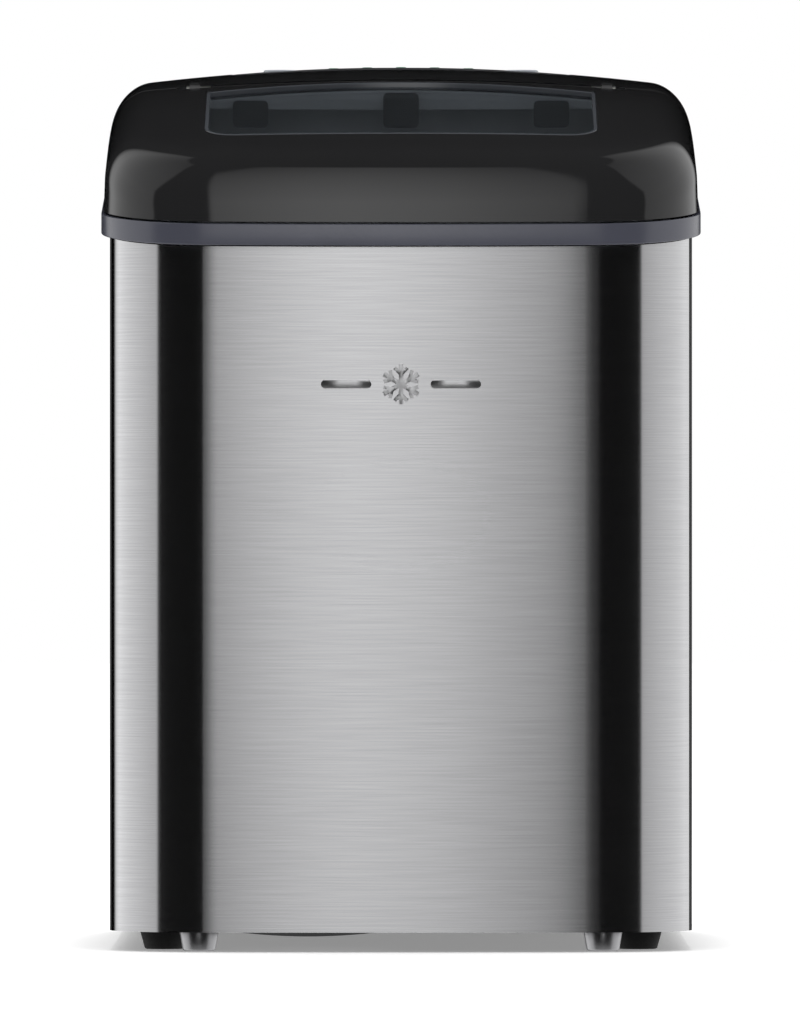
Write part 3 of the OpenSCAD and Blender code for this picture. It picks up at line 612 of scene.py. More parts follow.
def dress(node: str, finish: Finish | ClearFinish, soften: float = 0.0) -> None:
    """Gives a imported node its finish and, if asked, small rounded edges.

    Args:
        node: The node's name.
        finish: Its finish.
        soften: Radius of its edges, in metres, or 0 to leave them.
    """
    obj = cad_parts[node]
    obj.data.materials.clear()
    obj.data.materials.append(finish.material())
    for face in obj.data.polygons:
        face.material_index = 0
    if soften:
        weld = obj.modifiers.new("weld", "WELD")
        weld.merge_threshold = 2e-6
        edge = obj.modifiers.new("soften", "BEVEL")
        edge.width = soften
        edge.segments = 2
        edge.limit_method = "ANGLE"
        edge.angle_limit = math.radians(50)
        edge.harden_normals = True
    LOG.info("dressed %s with %s", node, finish.name)


# ---------------------------------------------------------------- the housing's form


@dataclass
class HousingForm:
    """The plan outline and the domed skin that the lid and the rear cover share.

    Attributes:
        half_width: Half the width at the trim band.
        front: Y of the band's front.
        back: Y of its back.
        corner: Plan radius of the front corners.
        rear_corner: Plan radius of the rear corners.
        bow: Radius of the front's outward bow.
        foot: Height of the skin's foot at the front.
        tilt: Slope of the band.
        crest: Height of the crest.
        crest_back: Distance of the crest behind the front.
    """

    half_width: float
    front: float
    back: float
    foot: float
    crest: float
    corner: float = 44.5 * MM
    rear_corner: float = 21.5 * MM
    bow: float = 1.2
    tilt: float = math.radians(7)
    crest_back: float = 257 * MM
    stations: np.ndarray = field(init=False)

    def __post_init__(self) -> None:
        """Works out the stations round the plan."""
        self.front_cx = self.half_width - self.corner
        reach = self.bow - self.corner
        self.front_cy = self.front + self.bow - math.sqrt(reach**2 - self.front_cx**2)
        self.rear_cx = self.half_width - self.rear_corner
        self.rear_cy = self.back - self.rear_corner
        self.bow_angle = math.asin(self.front_cx / reach)
        self.stations = self._loop()

    def _loop(self, bow: int = 16, corner: int = 24, side: int = 44, rear: int = 14,
              back: int = 14) -> np.ndarray:
        """Stations round the plan, each a point and its inward normal.

        Args:
            bow: Steps along half the front.
            corner: Steps round a front corner.
            side: Steps along a side.
            rear: Steps round a rear corner.
            back: Steps along half the back.

        Returns:
            One row for each station: x, y, normal x, normal y.
        """
        a = self.bow_angle * np.arange(bow) / bow
        half = [np.column_stack([self.bow * np.sin(a), self.front + self.bow * (1 - np.cos(a)),
                                 -np.sin(a), np.cos(a)])]
        a = self.bow_angle + (math.pi / 2 - self.bow_angle) * np.arange(corner) / corner
        half.append(np.column_stack([self.front_cx + self.corner * np.sin(a),
                                     self.front_cy - self.corner * np.cos(a), -np.sin(a), np.cos(a)]))
        y = self.front_cy + (self.rear_cy - self.front_cy) * np.arange(side) / side
        half.append(np.column_stack([np.full(side, self.half_width), y, -np.ones(side), np.zeros(side)]))
        a = math.pi / 2 * np.arange(rear) / rear
        half.append(np.column_stack([self.rear_cx + self.rear_corner * np.cos(a),
                                     self.rear_cy + self.rear_corner * np.sin(a), -np.cos(a), -np.sin(a)]))
        x = self.rear_cx * (1 - np.arange(back + 1) / back)
        half.append(np.column_stack([x, np.full(back + 1, self.back), np.zeros(back + 1),
                                     -np.ones(back + 1)]))
        right = np.vstack(half)
        left = right[-2:0:-1] * np.array([-1, 1, -1, 1])
        return np.vstack([right, left])

    def top(self, x: np.ndarray, y: np.ndarray) -> np.ndarray:
        """Height of the domed top above any point of the plan."""
        d = y - self.front
        crown = 0.65 * (0.15 + 0.85 * np.clip((d - 20 * MM) / (237 * MM), 0, 1))
        fall = np.where(d < self.crest_back, 0.687, 0.3)
        return self.crest - fall * (self.crest_back - d) ** 2 - crown * x * x

    def base(self, y: np.ndarray) -> np.ndarray:
        """Height of the skin's foot, just above the trim band."""
        return self.foot + math.tan(self.tilt) * (y - self.front)

    def plan(self, inset: float) -> np.ndarray:
        """The plan outline at a distance inside the band's outline."""
        s = self.stations
        return s[:, :2] + s[:, 2:] * inset

    def shoulder(self, q: float, offset: float) -> np.ndarray:
        """One ring of the skin.

        Args:
            q: Angle round the shoulder, from 0 on the wall to 90 degrees at the top.
            offset: Distance inside the outer surface.

        Returns:
            The ring's points.
        """
        s = self.stations
        near = np.clip((self.front_cy - s[:, 1]) / (self.front_cy - self.front), 0, 1)
        across = (16 + 2.5 * near) * MM
        height = self.top(s[:, 0], s[:, 1]) - self.base(s[:, 1])
        up = np.minimum((18.5 + 5.5 * near) * MM, height - MM)
        wall = 0.035 * (height - up)
        inset = MM + offset + wall + (across - offset) * (1 - math.cos(q))
        xy = s[:, :2] + s[:, 2:] * inset[:, None]
        z = self.top(xy[:, 0], xy[:, 1]) - offset - (up - offset) * (1 - math.sin(q))
        return np.column_stack([xy, z])

    def foot_ring(self, offset: float) -> np.ndarray:
        """The skin's lowest ring."""
        xy = self.plan(MM + offset)
        return np.column_stack([xy, self.base(xy[:, 1])])

    def skin_rings(self, offset: float, crowns: int = 26, turns: int = 18) -> np.ndarray:
        """Rings from near the centre of the top down to the foot.

        Args:
            offset: Distance inside the outer surface.
            crowns: Rings across the top.
            turns: Steps round the shoulder.

        Returns:
            The rings' points, all in one array.
        """
        edge = self.shoulder(math.pi / 2, offset)
        rings = []
        for i in range(1, crowns):
            xy = edge[:, :2] * (i / crowns)
            rings.append(np.column_stack([xy, self.top(xy[:, 0], xy[:, 1]) - offset]))
        for i in range(turns + 1):
            rings.append(self.shoulder(math.pi / 2 * (1 - i / turns), offset))
        wall, foot = rings[-1], self.foot_ring(offset)
        for i in range(1, 5):
            rings.append(wall + (foot - wall) * (i / 4))
        return np.vstack(rings)

    def skin(self, name: str, outer: float, inner: float, finish: Finish | ClearFinish,
             closed: bool = True) -> bpy.types.Object:
        """The shell between two offsets.

        Args:
            name: Its name.
            outer: Offset of its outer surface.
            inner: Offset of its inner surface.
            finish: Its finish.
            closed: Whether the foot joins the two surfaces.

        Returns:
            The shell.
        """
        skins = [(self.skin_rings(offset), np.array([[0.0, 0.0, float(self.top(0.0, 0.0)) - offset]]))
                 for offset in (outer, inner)]
        return shell(name, skins, len(self.stations), finish, closed)


def band_box() -> tuple[Vector, Vector]:
    """Lowest and highest corners of the trim band."""
    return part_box("trim_band")


def housing_form() -> HousingForm:
    """The housing's form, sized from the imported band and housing."""
    low, high = band_box()
    lid_low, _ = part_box("lid_shell")
    _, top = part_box("rear_cover")
    return HousingForm(half_width=high.x, front=low.y, back=high.y, foot=lid_low.z - 0.12 * MM, crest=top.z)


# ---------------------------------------------------------------- top housing


@dataclass
class WindowOutline:
    """The window's plan: a straight front with rounded corners, straight sides and an arched rear.

    Attributes:
        half_width: Half its width.
        front: Y of its straight front edge.
        rear: Y of the arch's middle.
        arc: Radius of the arch.
        corner: Radius of the front corners.
    """

    half_width: float
    front: float
    rear: float
    arc: float = 230 * MM
    corner: float = 12 * MM

    def ring(self, inset: float, along: int = 26, turn: int = 12) -> np.ndarray:
        """The outline's points, counterclockwise from above.

        Args:
            inset: Distance inside the outline.
            along: Steps along each straight edge.
            turn: Steps round each front corner.

        Returns:
            Plan points, with the same number at any inset.
        """
        x, y = self.half_width - self.corner, self.front + self.corner
        r, arc = self.corner - inset, self.arc - inset
        side = self.half_width - inset
        middle = self.rear - self.arc
        start = math.acos(side / arc)
        end_y = middle + arc * math.sin(start)
        steps = np.arange(along) / along
        edge = np.column_stack([-x + 2 * x * steps, np.full(along, self.front + inset)])
        a = -math.pi / 2 + math.pi / 2 * np.arange(turn) / turn
        right = np.column_stack([x + r * np.cos(a), y + r * np.sin(a)])
        rise = np.column_stack([np.full(along, side), y + (end_y - y) * steps])
        b = start + (math.pi - 2 * start) * np.arange(2 * along) / (2 * along)
        arch = np.column_stack([arc * np.cos(b), middle + arc * np.sin(b)])
        fall = np.column_stack([np.full(along, -side), end_y + (y - end_y) * steps])
        c = math.pi + math.pi / 2 * np.arange(turn) / turn
        left = np.column_stack([-x + r * np.cos(c), y + r * np.sin(c)])
        return np.vstack([edge, right, rise, arch, fall, left])


@dataclass
class TopHousing:
    """The lid with its window, and the rear cover with its control panel.

    Attributes:
        form: The skin that both share.
        hinge: Y and Z of the hinge axis.
        wall: Thickness of the mouldings.
        rim: Width of the window's rim.
        drop: Depth of the window's upper face below the dome.
        glazing: Thickness of the window.
        liner_rear: Height of the liner's lower edge along the rear arch.
        liner_drop: Depth of that edge below the crown farther forward.
        notch_half: Half width of the hinge notch in the lid.
        notch: Its depth in front of the axis.
    """

    form: HousingForm
    hinge: tuple[float, float]
    wall: float = 2.5 * MM
    rim: float = 1.6 * MM
    drop: float = 1.6 * MM
    glazing: float = 2 * MM
    liner_rear: float = 341.5 * MM
    liner_drop: float = 7.6 * MM
    notch_half: float = 92 * MM
    notch: float = 5 * MM
    window: WindowOutline = field(init=False)

    def __post_init__(self) -> None:
        """Places the window from its packed rim."""
        low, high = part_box("window_rim")
        gap = 0.05 * MM
        self.window = WindowOutline(high.x + gap, low.y - gap, self.hinge[0] - 8 * MM)

    def build(self) -> None:
        """Builds every piece of the housing."""
        self.lid_shell()
        self.rear_cover()
        self.control_panel()
        self.window_lens()
        self.window_rim()
        self.window_liner()

    def lid_shell(self) -> bpy.types.Object:
        """The domed lid, open at the window and notched for its hinge."""
        lid = self.form.skin("lid_dome", 0.0, self.wall, GLOSS_BLACK)
        y = self.hinge[0]
        cut(lid, block("front_half", (-0.2, -0.3, 0.2), (0.2, y - 0.4 * MM, 0.5)), "INTERSECT")
        cut(lid, prism("window_hole", self.window.ring(0.0), 0.25, 0.45), "DIFFERENCE")
        half = self.notch_half
        cut(lid, block("hinge_notch", (-half, y - self.notch, 0.3), (half, y + 0.04, 0.4)), "DIFFERENCE")
        self._take_normals(lid)
        return finish_piece(lid, "lid", "gloss_black", "lid_shell")

    def _take_normals(self, piece: bpy.types.Object) -> None:
        """Gives a cut piece the smooth skin's normals."""
        source = self.form.skin("smooth_skin", 0.0, self.wall, GLOSS_BLACK, closed=False)
        keep_normals(piece, [source])
        bpy.data.objects.remove(source)

    def _crowned_round(self, grow: float, half: float) -> bpy.types.Object:
        """The clearance round the crowned hinge barrel.

        Args:
            grow: Extra radius round the barrel.
            half: Half its length.

        Returns:
            A closed round to cut with.
        """
        y, z = self.hinge
        around = 32
        xs = np.linspace(-half, half, 40)
        rings = []
        for x in xs:
            r = max(0.4 * MM, float(self.form.top(x, y)) - z - 0.3 * MM) + grow
            a = 2 * math.pi * np.arange(around) / around
            rings.append(np.column_stack([np.full(around, x), y + r * np.cos(a), z + r * np.sin(a)]))
        verts = np.vstack(rings)
        last = (len(xs) - 1) * around
        faces = tube_faces(len(xs), around)
        faces += [tuple(range(around)), tuple(last + k for k in reversed(range(around)))]
        tool = new_object("barrel_clearance", verts, faces, SATIN_BLACK)
        fix_normals(tool)
        return tool

    def panel_outline(self, grow: float, turn: int = 10) -> np.ndarray:
        """Plan outline of the control panel, a rectangle with round corners.

        Args:
            grow: Distance outside the panel's own edge.
            turn: Steps round each corner.

        Returns:
            Plan points, counterclockwise.
        """
        low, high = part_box("control_panel")
        r = 8 * MM
        corners = [(high.x - r, low.y + r, -90), (high.x - r, high.y - r, 0), (low.x + r, high.y - r, 90),
                   (low.x + r, low.y + r, 180)]
        points = []
        for x, y, start in corners:
            for k in range(turn + 1):
                a = math.radians(start + 90 * k / turn)
                points.append((x + (r + grow) * math.cos(a), y + (r + grow) * math.sin(a)))
        return np.array(points)

    def rear_cover(self) -> bpy.types.Object:
        """The fixed rear cover behind the lid."""
        cover = self.form.skin("rear_dome", 0.0, self.wall, GLOSS_BLACK)
        y, z = self.hinge
        cut(cover, block("rear_half", (-0.2, y + 0.6 * MM, 0.2), (0.2, 0.3, 0.5)), "INTERSECT")
        cut(cover, prism("panel_hole", self.panel_outline(0.2 * MM), 0.25, 0.45), "DIFFERENCE")
        cut(cover, self._crowned_round(0.8 * MM, self.notch_half), "DIFFERENCE")
        low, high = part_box("hinge_brackets")
        for x in (low.x + 2.2 * MM, high.x - 2.2 * MM):
            near, far = (x - 2.8 * MM, y - MM, z - 0.01), (x + 2.8 * MM, y + 6.5 * MM, z + 0.01)
            notch = block("bracket_notch", near, far)
            cut(cover, notch, "DIFFERENCE")
        self._take_normals(cover)
        return finish_piece(cover, "cabinet", "gloss_black", "rear_cover")

    def _dome_patch(self, name: str, outline: np.ndarray, top: float, bottom: float,
                    finish: Finish | ClearFinish, rings: int = 18) -> bpy.types.Object:
        """A plate that follows the dome inside a plan outline.

        Args:
            name: Its name.
            outline: Plan points, counterclockwise.
            top: Depth of its upper face below the dome.
            bottom: Depth of its lower face.
            finish: Its finish.
            rings: Rings between its middle and its edge.

        Returns:
            The plate.
        """
        centre = outline.mean(axis=0)
        shares = [i / rings for i in range(1, rings)] + [0.985, 1.0]
        skins = []
        for depth in (top, bottom):
            layer = []
            for share in shares:
                xy = centre + (outline - centre) * share
                drop = 0.15 * MM if depth == top and share == 1.0 else 0.0
                layer.append(np.column_stack([xy, self.form.top(xy[:, 0], xy[:, 1]) - depth - drop]))
            skins.append((np.vstack(layer), np.array([[*centre, float(self.form.top(*centre)) - depth]])))
        plate = shell(name, skins, len(outline), finish)
        plate.data.set_sharp_from_angle(angle=math.radians(40))
        return plate

    def control_panel(self) -> bpy.types.Object:
        """The satin control panel, with holes for its buttons and lenses."""
        panel = self._dome_patch("control_fascia", self.panel_outline(0.0), 0.0, self.wall, SATIN_BLACK, 14)
        smooth = panel.copy()
        smooth.data = panel.data.copy()
        bpy.context.scene.collection.objects.link(smooth)
        hidden_flange = 0.85 * MM
        for node in ("power_button", "select_button"):
            low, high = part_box(node)
            middle = (low + high) / 2
            self._bore(panel, middle.x, middle.y, (high.x - low.x) / 2 - hidden_flange)
        low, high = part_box("indicator_lenses")
        radius = (high.y - low.y) / 2 + 0.02 * MM
        span = high.x - low.x - 2 * radius
        for k in range(5):
            self._bore(panel, low.x + radius + span * k / 4, (low.y + high.y) / 2, radius)
        keep_normals(panel, [smooth])
        bpy.data.objects.remove(smooth)
        return finish_piece(panel, "cabinet", "gloss_black", "control_panel")

    def _bore(self, piece: bpy.types.Object, x: float, y: float, radius: float) -> None:
        """Cuts an upright round hole."""
        a = 2 * math.pi * np.arange(48) / 48
        outline = np.column_stack([x + radius * np.cos(a), y + radius * np.sin(a)])
        cut(piece, prism("bore", outline, 0.3, 0.4), "DIFFERENCE")

    def window_lens(self) -> bpy.types.Object:
        """The smoked window, set down inside its rim."""
        outline = self.window.ring(self.rim + 0.1 * MM)
        lens = self._dome_patch("smoked_lens", outline, self.drop, self.drop + self.glazing, SMOKED)
        return finish_piece(lens, "lid", "smoked_window", "lid_window")

    def _window_sweep(self, name: str, rings: list[tuple[float, np.ndarray]],
                      finish: Finish) -> bpy.types.Object:
        """A closed bead that follows the window's outline.

        Args:
            name: Its name.
            rings: Each an inset and the heights along that ring.
            finish: Its finish.

        Returns:
            The bead.
        """
        placed = [np.column_stack([self.window.ring(inset), heights]) for inset, heights in rings]
        return sweep(name, placed, finish, 42)

    def _dome(self, inset: float) -> np.ndarray:
        """Heights of the dome along one ring of the window's outline."""
        xy = self.window.ring(inset)
        return self.form.top(xy[:, 0], xy[:, 1])

    def window_rim(self) -> bpy.types.Object:
        """The slim rim round the window, with rounded edges and a wall down to the window."""
        outer, edge, proud = 0.05 * MM, 0.35 * MM, 0.14 * MM
        rings = [(outer, self._dome(outer) - self.wall)]
        bend = quarter_round(edge, 5)
        rings += [(outer + step, self._dome(outer + step) + proud - down) for down, step in bend]
        rings += [(self.rim - step, self._dome(self.rim - step) + proud - down) for step, down in bend]
        rings.append((self.rim, self._dome(self.rim) - self.wall))
        rim = self._window_sweep("window_bead", rings, RIM_BLUE_GREY)
        return finish_piece(rim, "lid", "rim_grey", "window_rim")

    def window_liner(self) -> bpy.types.Object:
        """The wall that hangs under the window's edge, with a rounded lower lip."""
        half, lip = 1.2 * MM, 0.5 * MM
        under = self.wall + 0.6 * MM

        def edge(inset: float) -> np.ndarray:
            """Heights of the liner's lower edge along one ring."""
            xy = self.window.ring(inset)
            return np.minimum(self.liner_rear, self.form.top(0.0, xy[:, 1]) - self.liner_drop)

        outer, inner = edge(-half), edge(half)
        rings = [(-half, self._dome(-half) - under), (half, self._dome(half) - under), (half, inner + lip),
                 (half - 0.3 * lip, inner + 0.3 * lip), (half - lip, inner), (lip - half, outer),
                 (0.3 * lip - half, outer + 0.3 * lip), (-half, outer + lip)]
        liner = self._window_sweep("window_skirt", rings, LINER_GREY)
        return finish_piece(liner, "lid", "rim_grey", "window_liner")


# ---------------------------------------------------------------- front, band and feet


@dataclass
class FrontSheet:
    """The brushed sheet that wraps the front and its corners.

    Attributes:
        form: The plan that it follows.
        inset: Distance inside the trim band's outline.
        thick: Sheet thickness.
    """

    form: HousingForm
    inset: float = 3.5 * MM
    thick: float = 1.2 * MM

    def build(self) -> bpy.types.Object:
        """Builds the sheet with rounded edges along both seams."""
        low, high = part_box("front_panel")
        path = self._path(high.y)
        hem = self.thick / 2
        outer = [p + n * self.inset for p, n in path]
        inner = [p + n * (self.inset + self.thick) for p, n in path]
        ring = outer + self._hem(path[-1], hem, 1) + inner[::-1] + self._hem(path[0], hem, -1)
        plan = np.array([tuple(p) for p in ring])
        tilt = math.tan(self.form.tilt)
        top = high.z - tilt * (high.y - low.y) + tilt * (plan[:, 1] - low.y)
        foot = np.full(len(plan), low.z)
        rows = [foot + (top - foot) * share for share in np.linspace(0, 1, 13)]
        n = len(plan)
        verts = np.vstack([np.column_stack([plan, z]) for z in rows])
        faces = tube_faces(len(rows), n)
        count = len(path)
        for level in (0, (len(rows) - 1) * n):
            strip = [(level + k, level + k + 1, level + 2 * count + 4 - k, level + 2 * count + 5 - k)
                     for k in range(count - 1)]
            faces += strip
            faces.append(tuple(level + k for k in range(count - 1, count + 6)))
            faces.append(tuple(level + k for k in [*range(2 * count + 5, n), 0]))
        sheet = new_object("front_sheet", verts, faces, STEEL)
        fix_normals(sheet)
        sheet.data.set_sharp_from_angle(angle=math.radians(40))
        return finish_piece(sheet, "cabinet", "stainless", "front_panel")

    def _path(self, seam: float) -> list[tuple[Vector, Vector]]:
        """Points and inward normals from the left seam round the front to the right seam.

        Args:
            seam: Y where the sheet ends.

        Returns:
            Pairs of a plan point on the band's outline and its inward normal.
        """
        f = self.form
        end = math.acos((f.front_cy - seam) / (f.corner - self.inset - self.thick))
        turn = [f.bow_angle + (end - f.bow_angle) * k / 30 for k in range(31)]
        right = [(Vector((f.front_cx + f.corner * math.sin(a), f.front_cy - f.corner * math.cos(a))),
                  Vector((-math.sin(a), math.cos(a)))) for a in turn]
        bow = [f.bow_angle * k / 14 for k in range(-13, 14)]
        middle = [(Vector((f.bow * math.sin(a), f.front + f.bow * (1 - math.cos(a)))),
                   Vector((-math.sin(a), math.cos(a)))) for a in bow]
        left = [(Vector((-p.x, p.y)), Vector((-n.x, n.y))) for p, n in reversed(right)]
        return left + middle + right

    def _hem(self, end: tuple[Vector, Vector], radius: float, side: int) -> list[Vector]:
        """Round points that close one seam edge, from its outer to its inner face or back."""
        point, normal = end
        along = Vector((-normal.y, normal.x)) * -side
        middle = point + normal * (self.inset + radius)
        steps = [math.pi * k / 6 for k in range(1, 6)]
        hem = [middle - normal * radius * math.cos(a) + along * radius * 0.5 * math.sin(a) for a in steps]
        return hem if side > 0 else hem[::-1]


@dataclass
class TrimBand:
    """The sloping band between the body and the housing.

    Attributes:
        form: The plan that it follows.
        depth: Its width in plan.
        edge: Radius of its outer edges.
    """

    form: HousingForm
    depth: float = 7 * MM
    edge: float = 0.5 * MM

    def build(self) -> bpy.types.Object:
        """Builds the band with rounded outer edges."""
        low, high = band_box()
        rise = math.tan(self.form.tilt) * (high.y - low.y)
        height = high.z - low.z - rise
        profile = [(self.depth, 0.0)]
        bend = quarter_round(self.edge, 6)
        profile += bend
        profile += [(inset, height - down) for down, inset in bend]
        profile.append((self.depth, height))
        rings = []
        for inset, up in profile:
            xy = self.form.plan(inset)
            rings.append(np.column_stack([xy, low.z + up + math.tan(self.form.tilt) * (xy[:, 1] - low.y)]))
        band = sweep("band_moulding", rings, BAND_BLUE_GREY, 35)
        return finish_piece(band, "cabinet", "band_paint", "trim_band")


def lathe(name: str, profile: list[tuple[float, float]], spots: list[tuple[float, float]], finish: Finish,
          steps: int = 64) -> bpy.types.Object:
    """Turns a profile about one or more upright axes.

    Args:
        name: The object's name.
        profile: Radius and height pairs, from the lower middle to the upper middle.
        spots: Plan place of each axis.
        finish: The finish.
        steps: Steps round each axis.

    Returns:
        The turned object.
    """
    a = 2 * math.pi * np.arange(steps) / steps
    verts, faces, start = [], [], 0
    inner = profile[1:-1]
    for x, y in spots:
        for r, z in inner:
            verts.append(np.column_stack([x + r * np.cos(a), y + r * np.sin(a), np.full(steps, z)]))
        verts.append(np.array([[x, y, profile[0][1]], [x, y, profile[-1][1]]]))
        faces += tube_faces(len(inner), steps, start)
        hub = start + len(inner) * steps
        top = start + (len(inner) - 1) * steps
        faces += [(start + (k + 1) % steps, start + k, hub) for k in range(steps)]
        faces += [(top + k, top + (k + 1) % steps, hub + 1) for k in range(steps)]
        start = hub + 2
    turned = new_object(name, np.vstack(verts), faces, finish)
    fix_normals(turned)
    turned.data.set_sharp_from_angle(angle=math.radians(38))
    return turned


@dataclass(frozen=True)
class Foot:
    """A group of round feet.

    Attributes:
        node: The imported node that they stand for.
        name: The piece's name.
        slot: The record's slot.
        finish: Their finish.
        taper: How much narrower they are at the floor.
    """

    node: str
    name: str
    slot: str
    finish: Finish
    taper: float

    def build(self) -> bpy.types.Object:
        """Builds the two feet with rounded soles and a shallow recess under each."""
        low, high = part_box(self.node)
        r = (high.y - low.y) / 2
        sole = r - self.taper
        edge = 0.9 * MM
        profile = [(0, 0.8 * MM), (sole * 0.55, 0.8 * MM), (sole * 0.62, 0.0), (sole - edge, 0.0)]
        profile += [(sole - edge + edge * math.sin(a), edge * (1 - math.cos(a)))
                    for a in (math.radians(d) for d in (25, 50, 75))]
        profile += [(r - 0.15 * MM, high.z - 0.5 * MM), (r - 0.3 * MM, high.z), (0, high.z)]
        y = (low.y + high.y) / 2
        feet = lathe(self.name, profile, [(low.x + r, y), (high.x - r, y)], self.finish)
        return finish_piece(feet, "cabinet", self.slot, self.node)


@dataclass(frozen=True)
class PushButton:
    """A round button with a dished top.

    Attributes:
        node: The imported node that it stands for, and its body's name.
        skirt: Width of the flange under the panel.
    """

    node: str
    skirt: float = 1.2 * MM

    def build(self) -> bpy.types.Object:
        """Builds the button."""
        low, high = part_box(self.node)
        r = (high.x - low.x) / 2 - self.skirt
        x, y = (low.x + high.x) / 2, (low.y + high.y) / 2
        z = high.z
        flange, flange_z = r + self.skirt, low.z + 1.4 * MM
        edge, dish = 0.8 * MM, 0.6 * MM
        profile = [(0, low.z), (flange, low.z), (flange, flange_z), (r, flange_z), (r, z - edge)]
        profile += [(r - edge * (1 - math.cos(a)), z - edge * (1 - math.sin(a)))
                    for a in (math.radians(d) for d in (25, 50, 75, 90))]
        profile += [(r * share, z - dish * (1 - share**2)) for share in (0.75, 0.6, 0.45, 0.3, 0.15)]
        profile.append((0, z - dish))
        button = lathe(f"{self.node}_cap", profile, [(x, y)], BUTTON_GREY)
        return finish_piece(button, self.node, "button_grey", self.node)


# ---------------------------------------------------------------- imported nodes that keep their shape


@dataclass
class PackedParts:
    """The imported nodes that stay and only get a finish, by finish and edge radius."""

    groups: dict = field(default_factory=lambda: {
        (POWDER_BLACK, 0.0): ["left_side_panel", "right_side_panel", "back_panel", "base_pan"],
        (BADGE_METAL, 0.0003): ["front_badge"],
        (SATIN_BLACK, 0.0003): ["window_clips", "cord_gland", "compressor_relay", "fan_shroud",
                                "button_switches", "tray_motor", "water_pump", "pump_motor"],
        (SATIN_BLACK, 0.0): ["drain_cap", "ice_full_sensors"],
        (SLATE, 0.0): ["housing_wall"],
        (GLOSS_BLACK, 0.0): ["hinge_barrel", "hinge_brackets"],
        (RUBBER, 0.0): ["compressor_mounts"],
        (WHITE_MOULDING, 0.0004): ["ice_basket", "ice_slide", "harvest_frame", "water_tray", "ice_shovel",
                                   "pump_impeller", "fan_blade", "tub", "tub_deck"],
        (WHITE_MOULDING, 0.0): ["drain_outlet", "float_stem"],
        (FLOAT_MOULDING, 0.0005): ["level_float"],
        (ZINC, 0.0): ["panel_screws", "hinge_pins", "bulkhead"],
        (ZINC, 0.0003): ["fan_motor", "gas_valve"],
        (FOAM, 0.0): ["tub_foam"],
        (LENS, 0.0): ["indicator_lenses"],
        (BOARD, 0.0): ["control_board"],
        (NICKEL, 0.0): ["evaporator"],
        (SILICONE, 0.0): ["water_hose"],
        (ENAMEL, 0.0): ["compressor"],
        (FIN_ALUMINIUM, 0.0): ["condenser"],
        (COPPER, 0.0): ["filter_drier", "refrigerant_lines"],
    })

    def build(self) -> None:
        """Dresses every node in the groups."""
        for (finish, soften), nodes in self.groups.items():
            for node in nodes:
                dress(node, finish, soften)


# ---------------------------------------------------------------- studio


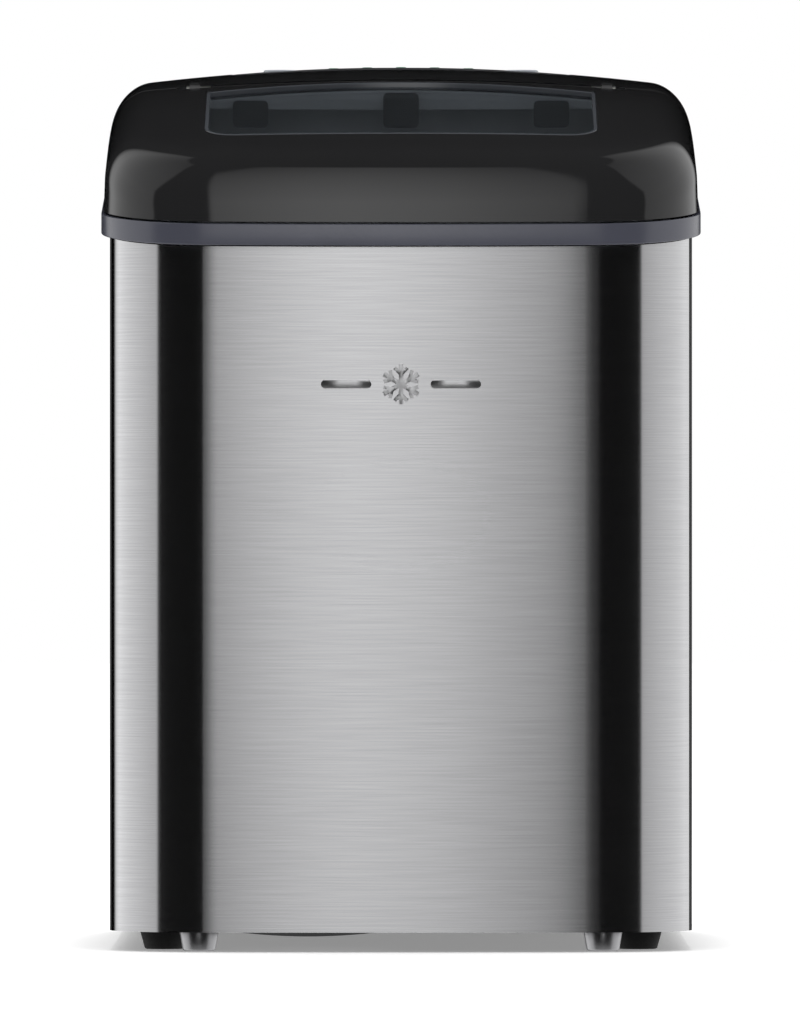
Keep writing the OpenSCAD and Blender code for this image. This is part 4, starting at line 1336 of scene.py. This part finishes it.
@dataclass
class Studio:
    """The pale floor, the soft light and the camera.

    Attributes:
        distance: From the camera to the trim band's front.
        eye: Height of the camera.
        lens: Focal length in millimetres, on a 36 mm wide sensor.
        left_box: Brightness of the left softbox by angle from straight ahead, in degrees.
        right_box: Brightness of the right softbox.
        card: Brightness of the card in front.
    """

    distance: float = 6.23
    eye: float = 0.1755
    lens: float = 543.4
    left_box: list[tuple] = field(default_factory=lambda: [
        (-146, 0.0), (-138, 1.0), (-130, 1.25), (-110, 1.05), (-85, 0.85), (-65, 0.68), (-62, 0.0)])
    right_box: list[tuple] = field(default_factory=lambda: [
        (58, 0.0), (61, 0.62), (85, 0.8), (110, 0.95), (134, 1.1), (150, 1.0), (160, 0.0)])
    card: list[tuple] = field(default_factory=lambda: [
        (-9.1, 0.0), (-8.3, 0.98), (-6, 1.35), (-4, 1.6), (-2, 1.7), (0, 1.6), (2, 1.45), (4, 1.18),
        (6, 0.96), (7.2, 0.8), (7.9, 0.0)])

    def build(self) -> None:
        """Builds the studio."""
        self._camera()
        self._floor()
        self._surroundings()
        self._lamp("overhead_softbox", (0.0, 0.5, 2.5), (0.4, 2.0), 48.0)
        bpy.context.scene.view_settings.view_transform = "Standard"

    def _camera(self) -> None:
        """Places the level camera straight in front."""
        low, _ = band_box()
        data = bpy.data.cameras.new("camera")
        data.lens = self.lens
        data.sensor_width = 36.0
        data.clip_end = 60.0
        camera = bpy.data.objects.new("camera", data)
        camera.location = (-0.4 * MM, low.y - self.distance, self.eye)
        camera.rotation_euler = (math.pi / 2, 0.0, 0.0)
        bpy.context.scene.collection.objects.link(camera)
        bpy.context.scene.camera = camera

    def _floor(self) -> None:
        """Lays the floor."""
        half = 12.0
        corners = np.array([(-half, -half, 0.0), (half, -half, 0.0), (half, half, 0.0), (-half, half, 0.0)])
        floor = new_object("floor", corners, [(0, 1, 2, 3)], FLOOR_WHITE)
        floor.visible_glossy = False

    def _lamp(self, name: str, place: tuple, size: tuple, power: float) -> None:
        """Hangs a softbox that faces down and that gloss doesn't mirror.

        Args:
            name: Its name.
            place: Where it hangs.
            size: Its width along X and its length along Y.
            power: Its power in watts.
        """
        data = bpy.data.lights.new(name, "AREA")
        data.shape = "RECTANGLE"
        data.size, data.size_y = size
        data.energy = power
        lamp = bpy.data.objects.new(name, data)
        lamp.location = place
        lamp.visible_camera = False
        lamp.visible_glossy = False
        bpy.context.scene.collection.objects.link(lamp)

    def _surroundings(self) -> None:
        """Sets what gloss mirrors: a card in front, a softbox at each side, pale ground, and dark between."""
        world = bpy.data.worlds.new("studio")
        bpy.context.scene.world = world
        world.cycles.sampling_method = "NONE"
        graph = Graph(world)
        place = graph.add("ShaderNodeTexCoord")
        parts = graph.add("ShaderNodeSeparateXYZ")
        graph.link(place.outputs["Generated"], parts.inputs["Vector"])
        across = parts.outputs["X"]
        ahead = graph.compute("MULTIPLY", parts.outputs["Y"], -1.0)
        height = graph.compute("ARCSINE", parts.outputs["Z"])
        high = graph.compute("MAXIMUM", graph.compute("SUBTRACT", height, 0.52), 0.0)

        lean = graph.compute("MULTIPLY", high, graph.compute("MAXIMUM", ahead, 0.0))
        spread = graph.compute("ADD", graph.compute("MULTIPLY", lean, 1.3), 1.0)
        leaning = graph.compute("MULTIPLY", graph.compute("ARCTAN2", across, ahead), spread)
        sides = graph.levels(leaning, self.left_box + self.right_box)

        half = graph.compute("ARCTAN2", across, graph.compute("ADD", ahead, 1.0))
        taper = graph.compute("ADD", graph.compute("POWER", high, 4.0), 1.0)
        facing = graph.compute("MULTIPLY", graph.compute("MULTIPLY", half, 2.0), taper)
        front_half = graph.compute("GREATER_THAN", ahead, 0.0)
        card = graph.compute("MULTIPLY", graph.levels(facing, self.card), front_half)
        above = graph.levels(height, [(-4, 0.05), (0, 1.0)])

        around = graph.compute("ADD", sides, graph.compute("MULTIPLY", card, above))
        ground = graph.levels(height, [(-90, 0.6), (-42, 0.5), (-24, 0.0)])
        around = graph.compute("MAXIMUM", around, ground)
        fade = graph.levels(height, [(-90, 1.0), (26, 1.0), (36, 0.89), (45, 0.8), (55, 0.67), (62, 0.57),
                                     (67, 0.49), (72, 0.4), (77, 0.32), (79, 0.0)])
        mirrored = graph.add("ShaderNodeBackground")
        graph.link(graph.compute("MULTIPLY", around, fade), mirrored.inputs["Strength"])
        soft = graph.add("ShaderNodeBackground", Strength=0.9)
        white = graph.add("ShaderNodeBackground", Strength=1.0)
        for node in (soft, white, mirrored):
            node.inputs["Color"].default_value = (1.0, 1.0, 1.0, 1.0)
        rays = graph.add("ShaderNodeLightPath")
        gloss = graph.add("ShaderNodeMixShader")
        seen = graph.add("ShaderNodeMixShader")
        graph.link(rays.outputs["Is Glossy Ray"], gloss.inputs["Fac"])
        graph.link(soft.outputs["Background"], gloss.inputs[1])
        graph.link(mirrored.outputs["Background"], gloss.inputs[2])
        graph.link(rays.outputs["Is Camera Ray"], seen.inputs["Fac"])
        graph.link(gloss.outputs["Shader"], seen.inputs[1])
        graph.link(white.outputs["Background"], seen.inputs[2])
        graph.link(seen.outputs["Shader"], graph.output.inputs["Surface"])


def main() -> None:
    """Builds the studio and every sub-assembly in order."""
    logging.basicConfig(level=logging.INFO, format="%(message)s")
    Studio().build()
    form = housing_form()
    pin_low, pin_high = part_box("hinge_pins")
    hinge = ((pin_low.y + pin_high.y) / 2, (pin_low.z + pin_high.z) / 2)
    FrontSheet(form).build()
    TrimBand(form).build()
    TopHousing(form, hinge).build()
    Foot("front_feet", "silver_foot_pair", "silver_foot", SILVER_FOOT, 1.3 * MM).build()
    Foot("front_corner_feet", "front_corner_foot_pair", "black_rubber", RUBBER, 2 * MM).build()
    Foot("rear_corner_feet", "rear_corner_foot_pair", "black_rubber", RUBBER, 2 * MM).build()
    PushButton("power_button").build()
    PushButton("select_button").build()
    PackedParts().build()


if __name__ == "__main__":
    main()
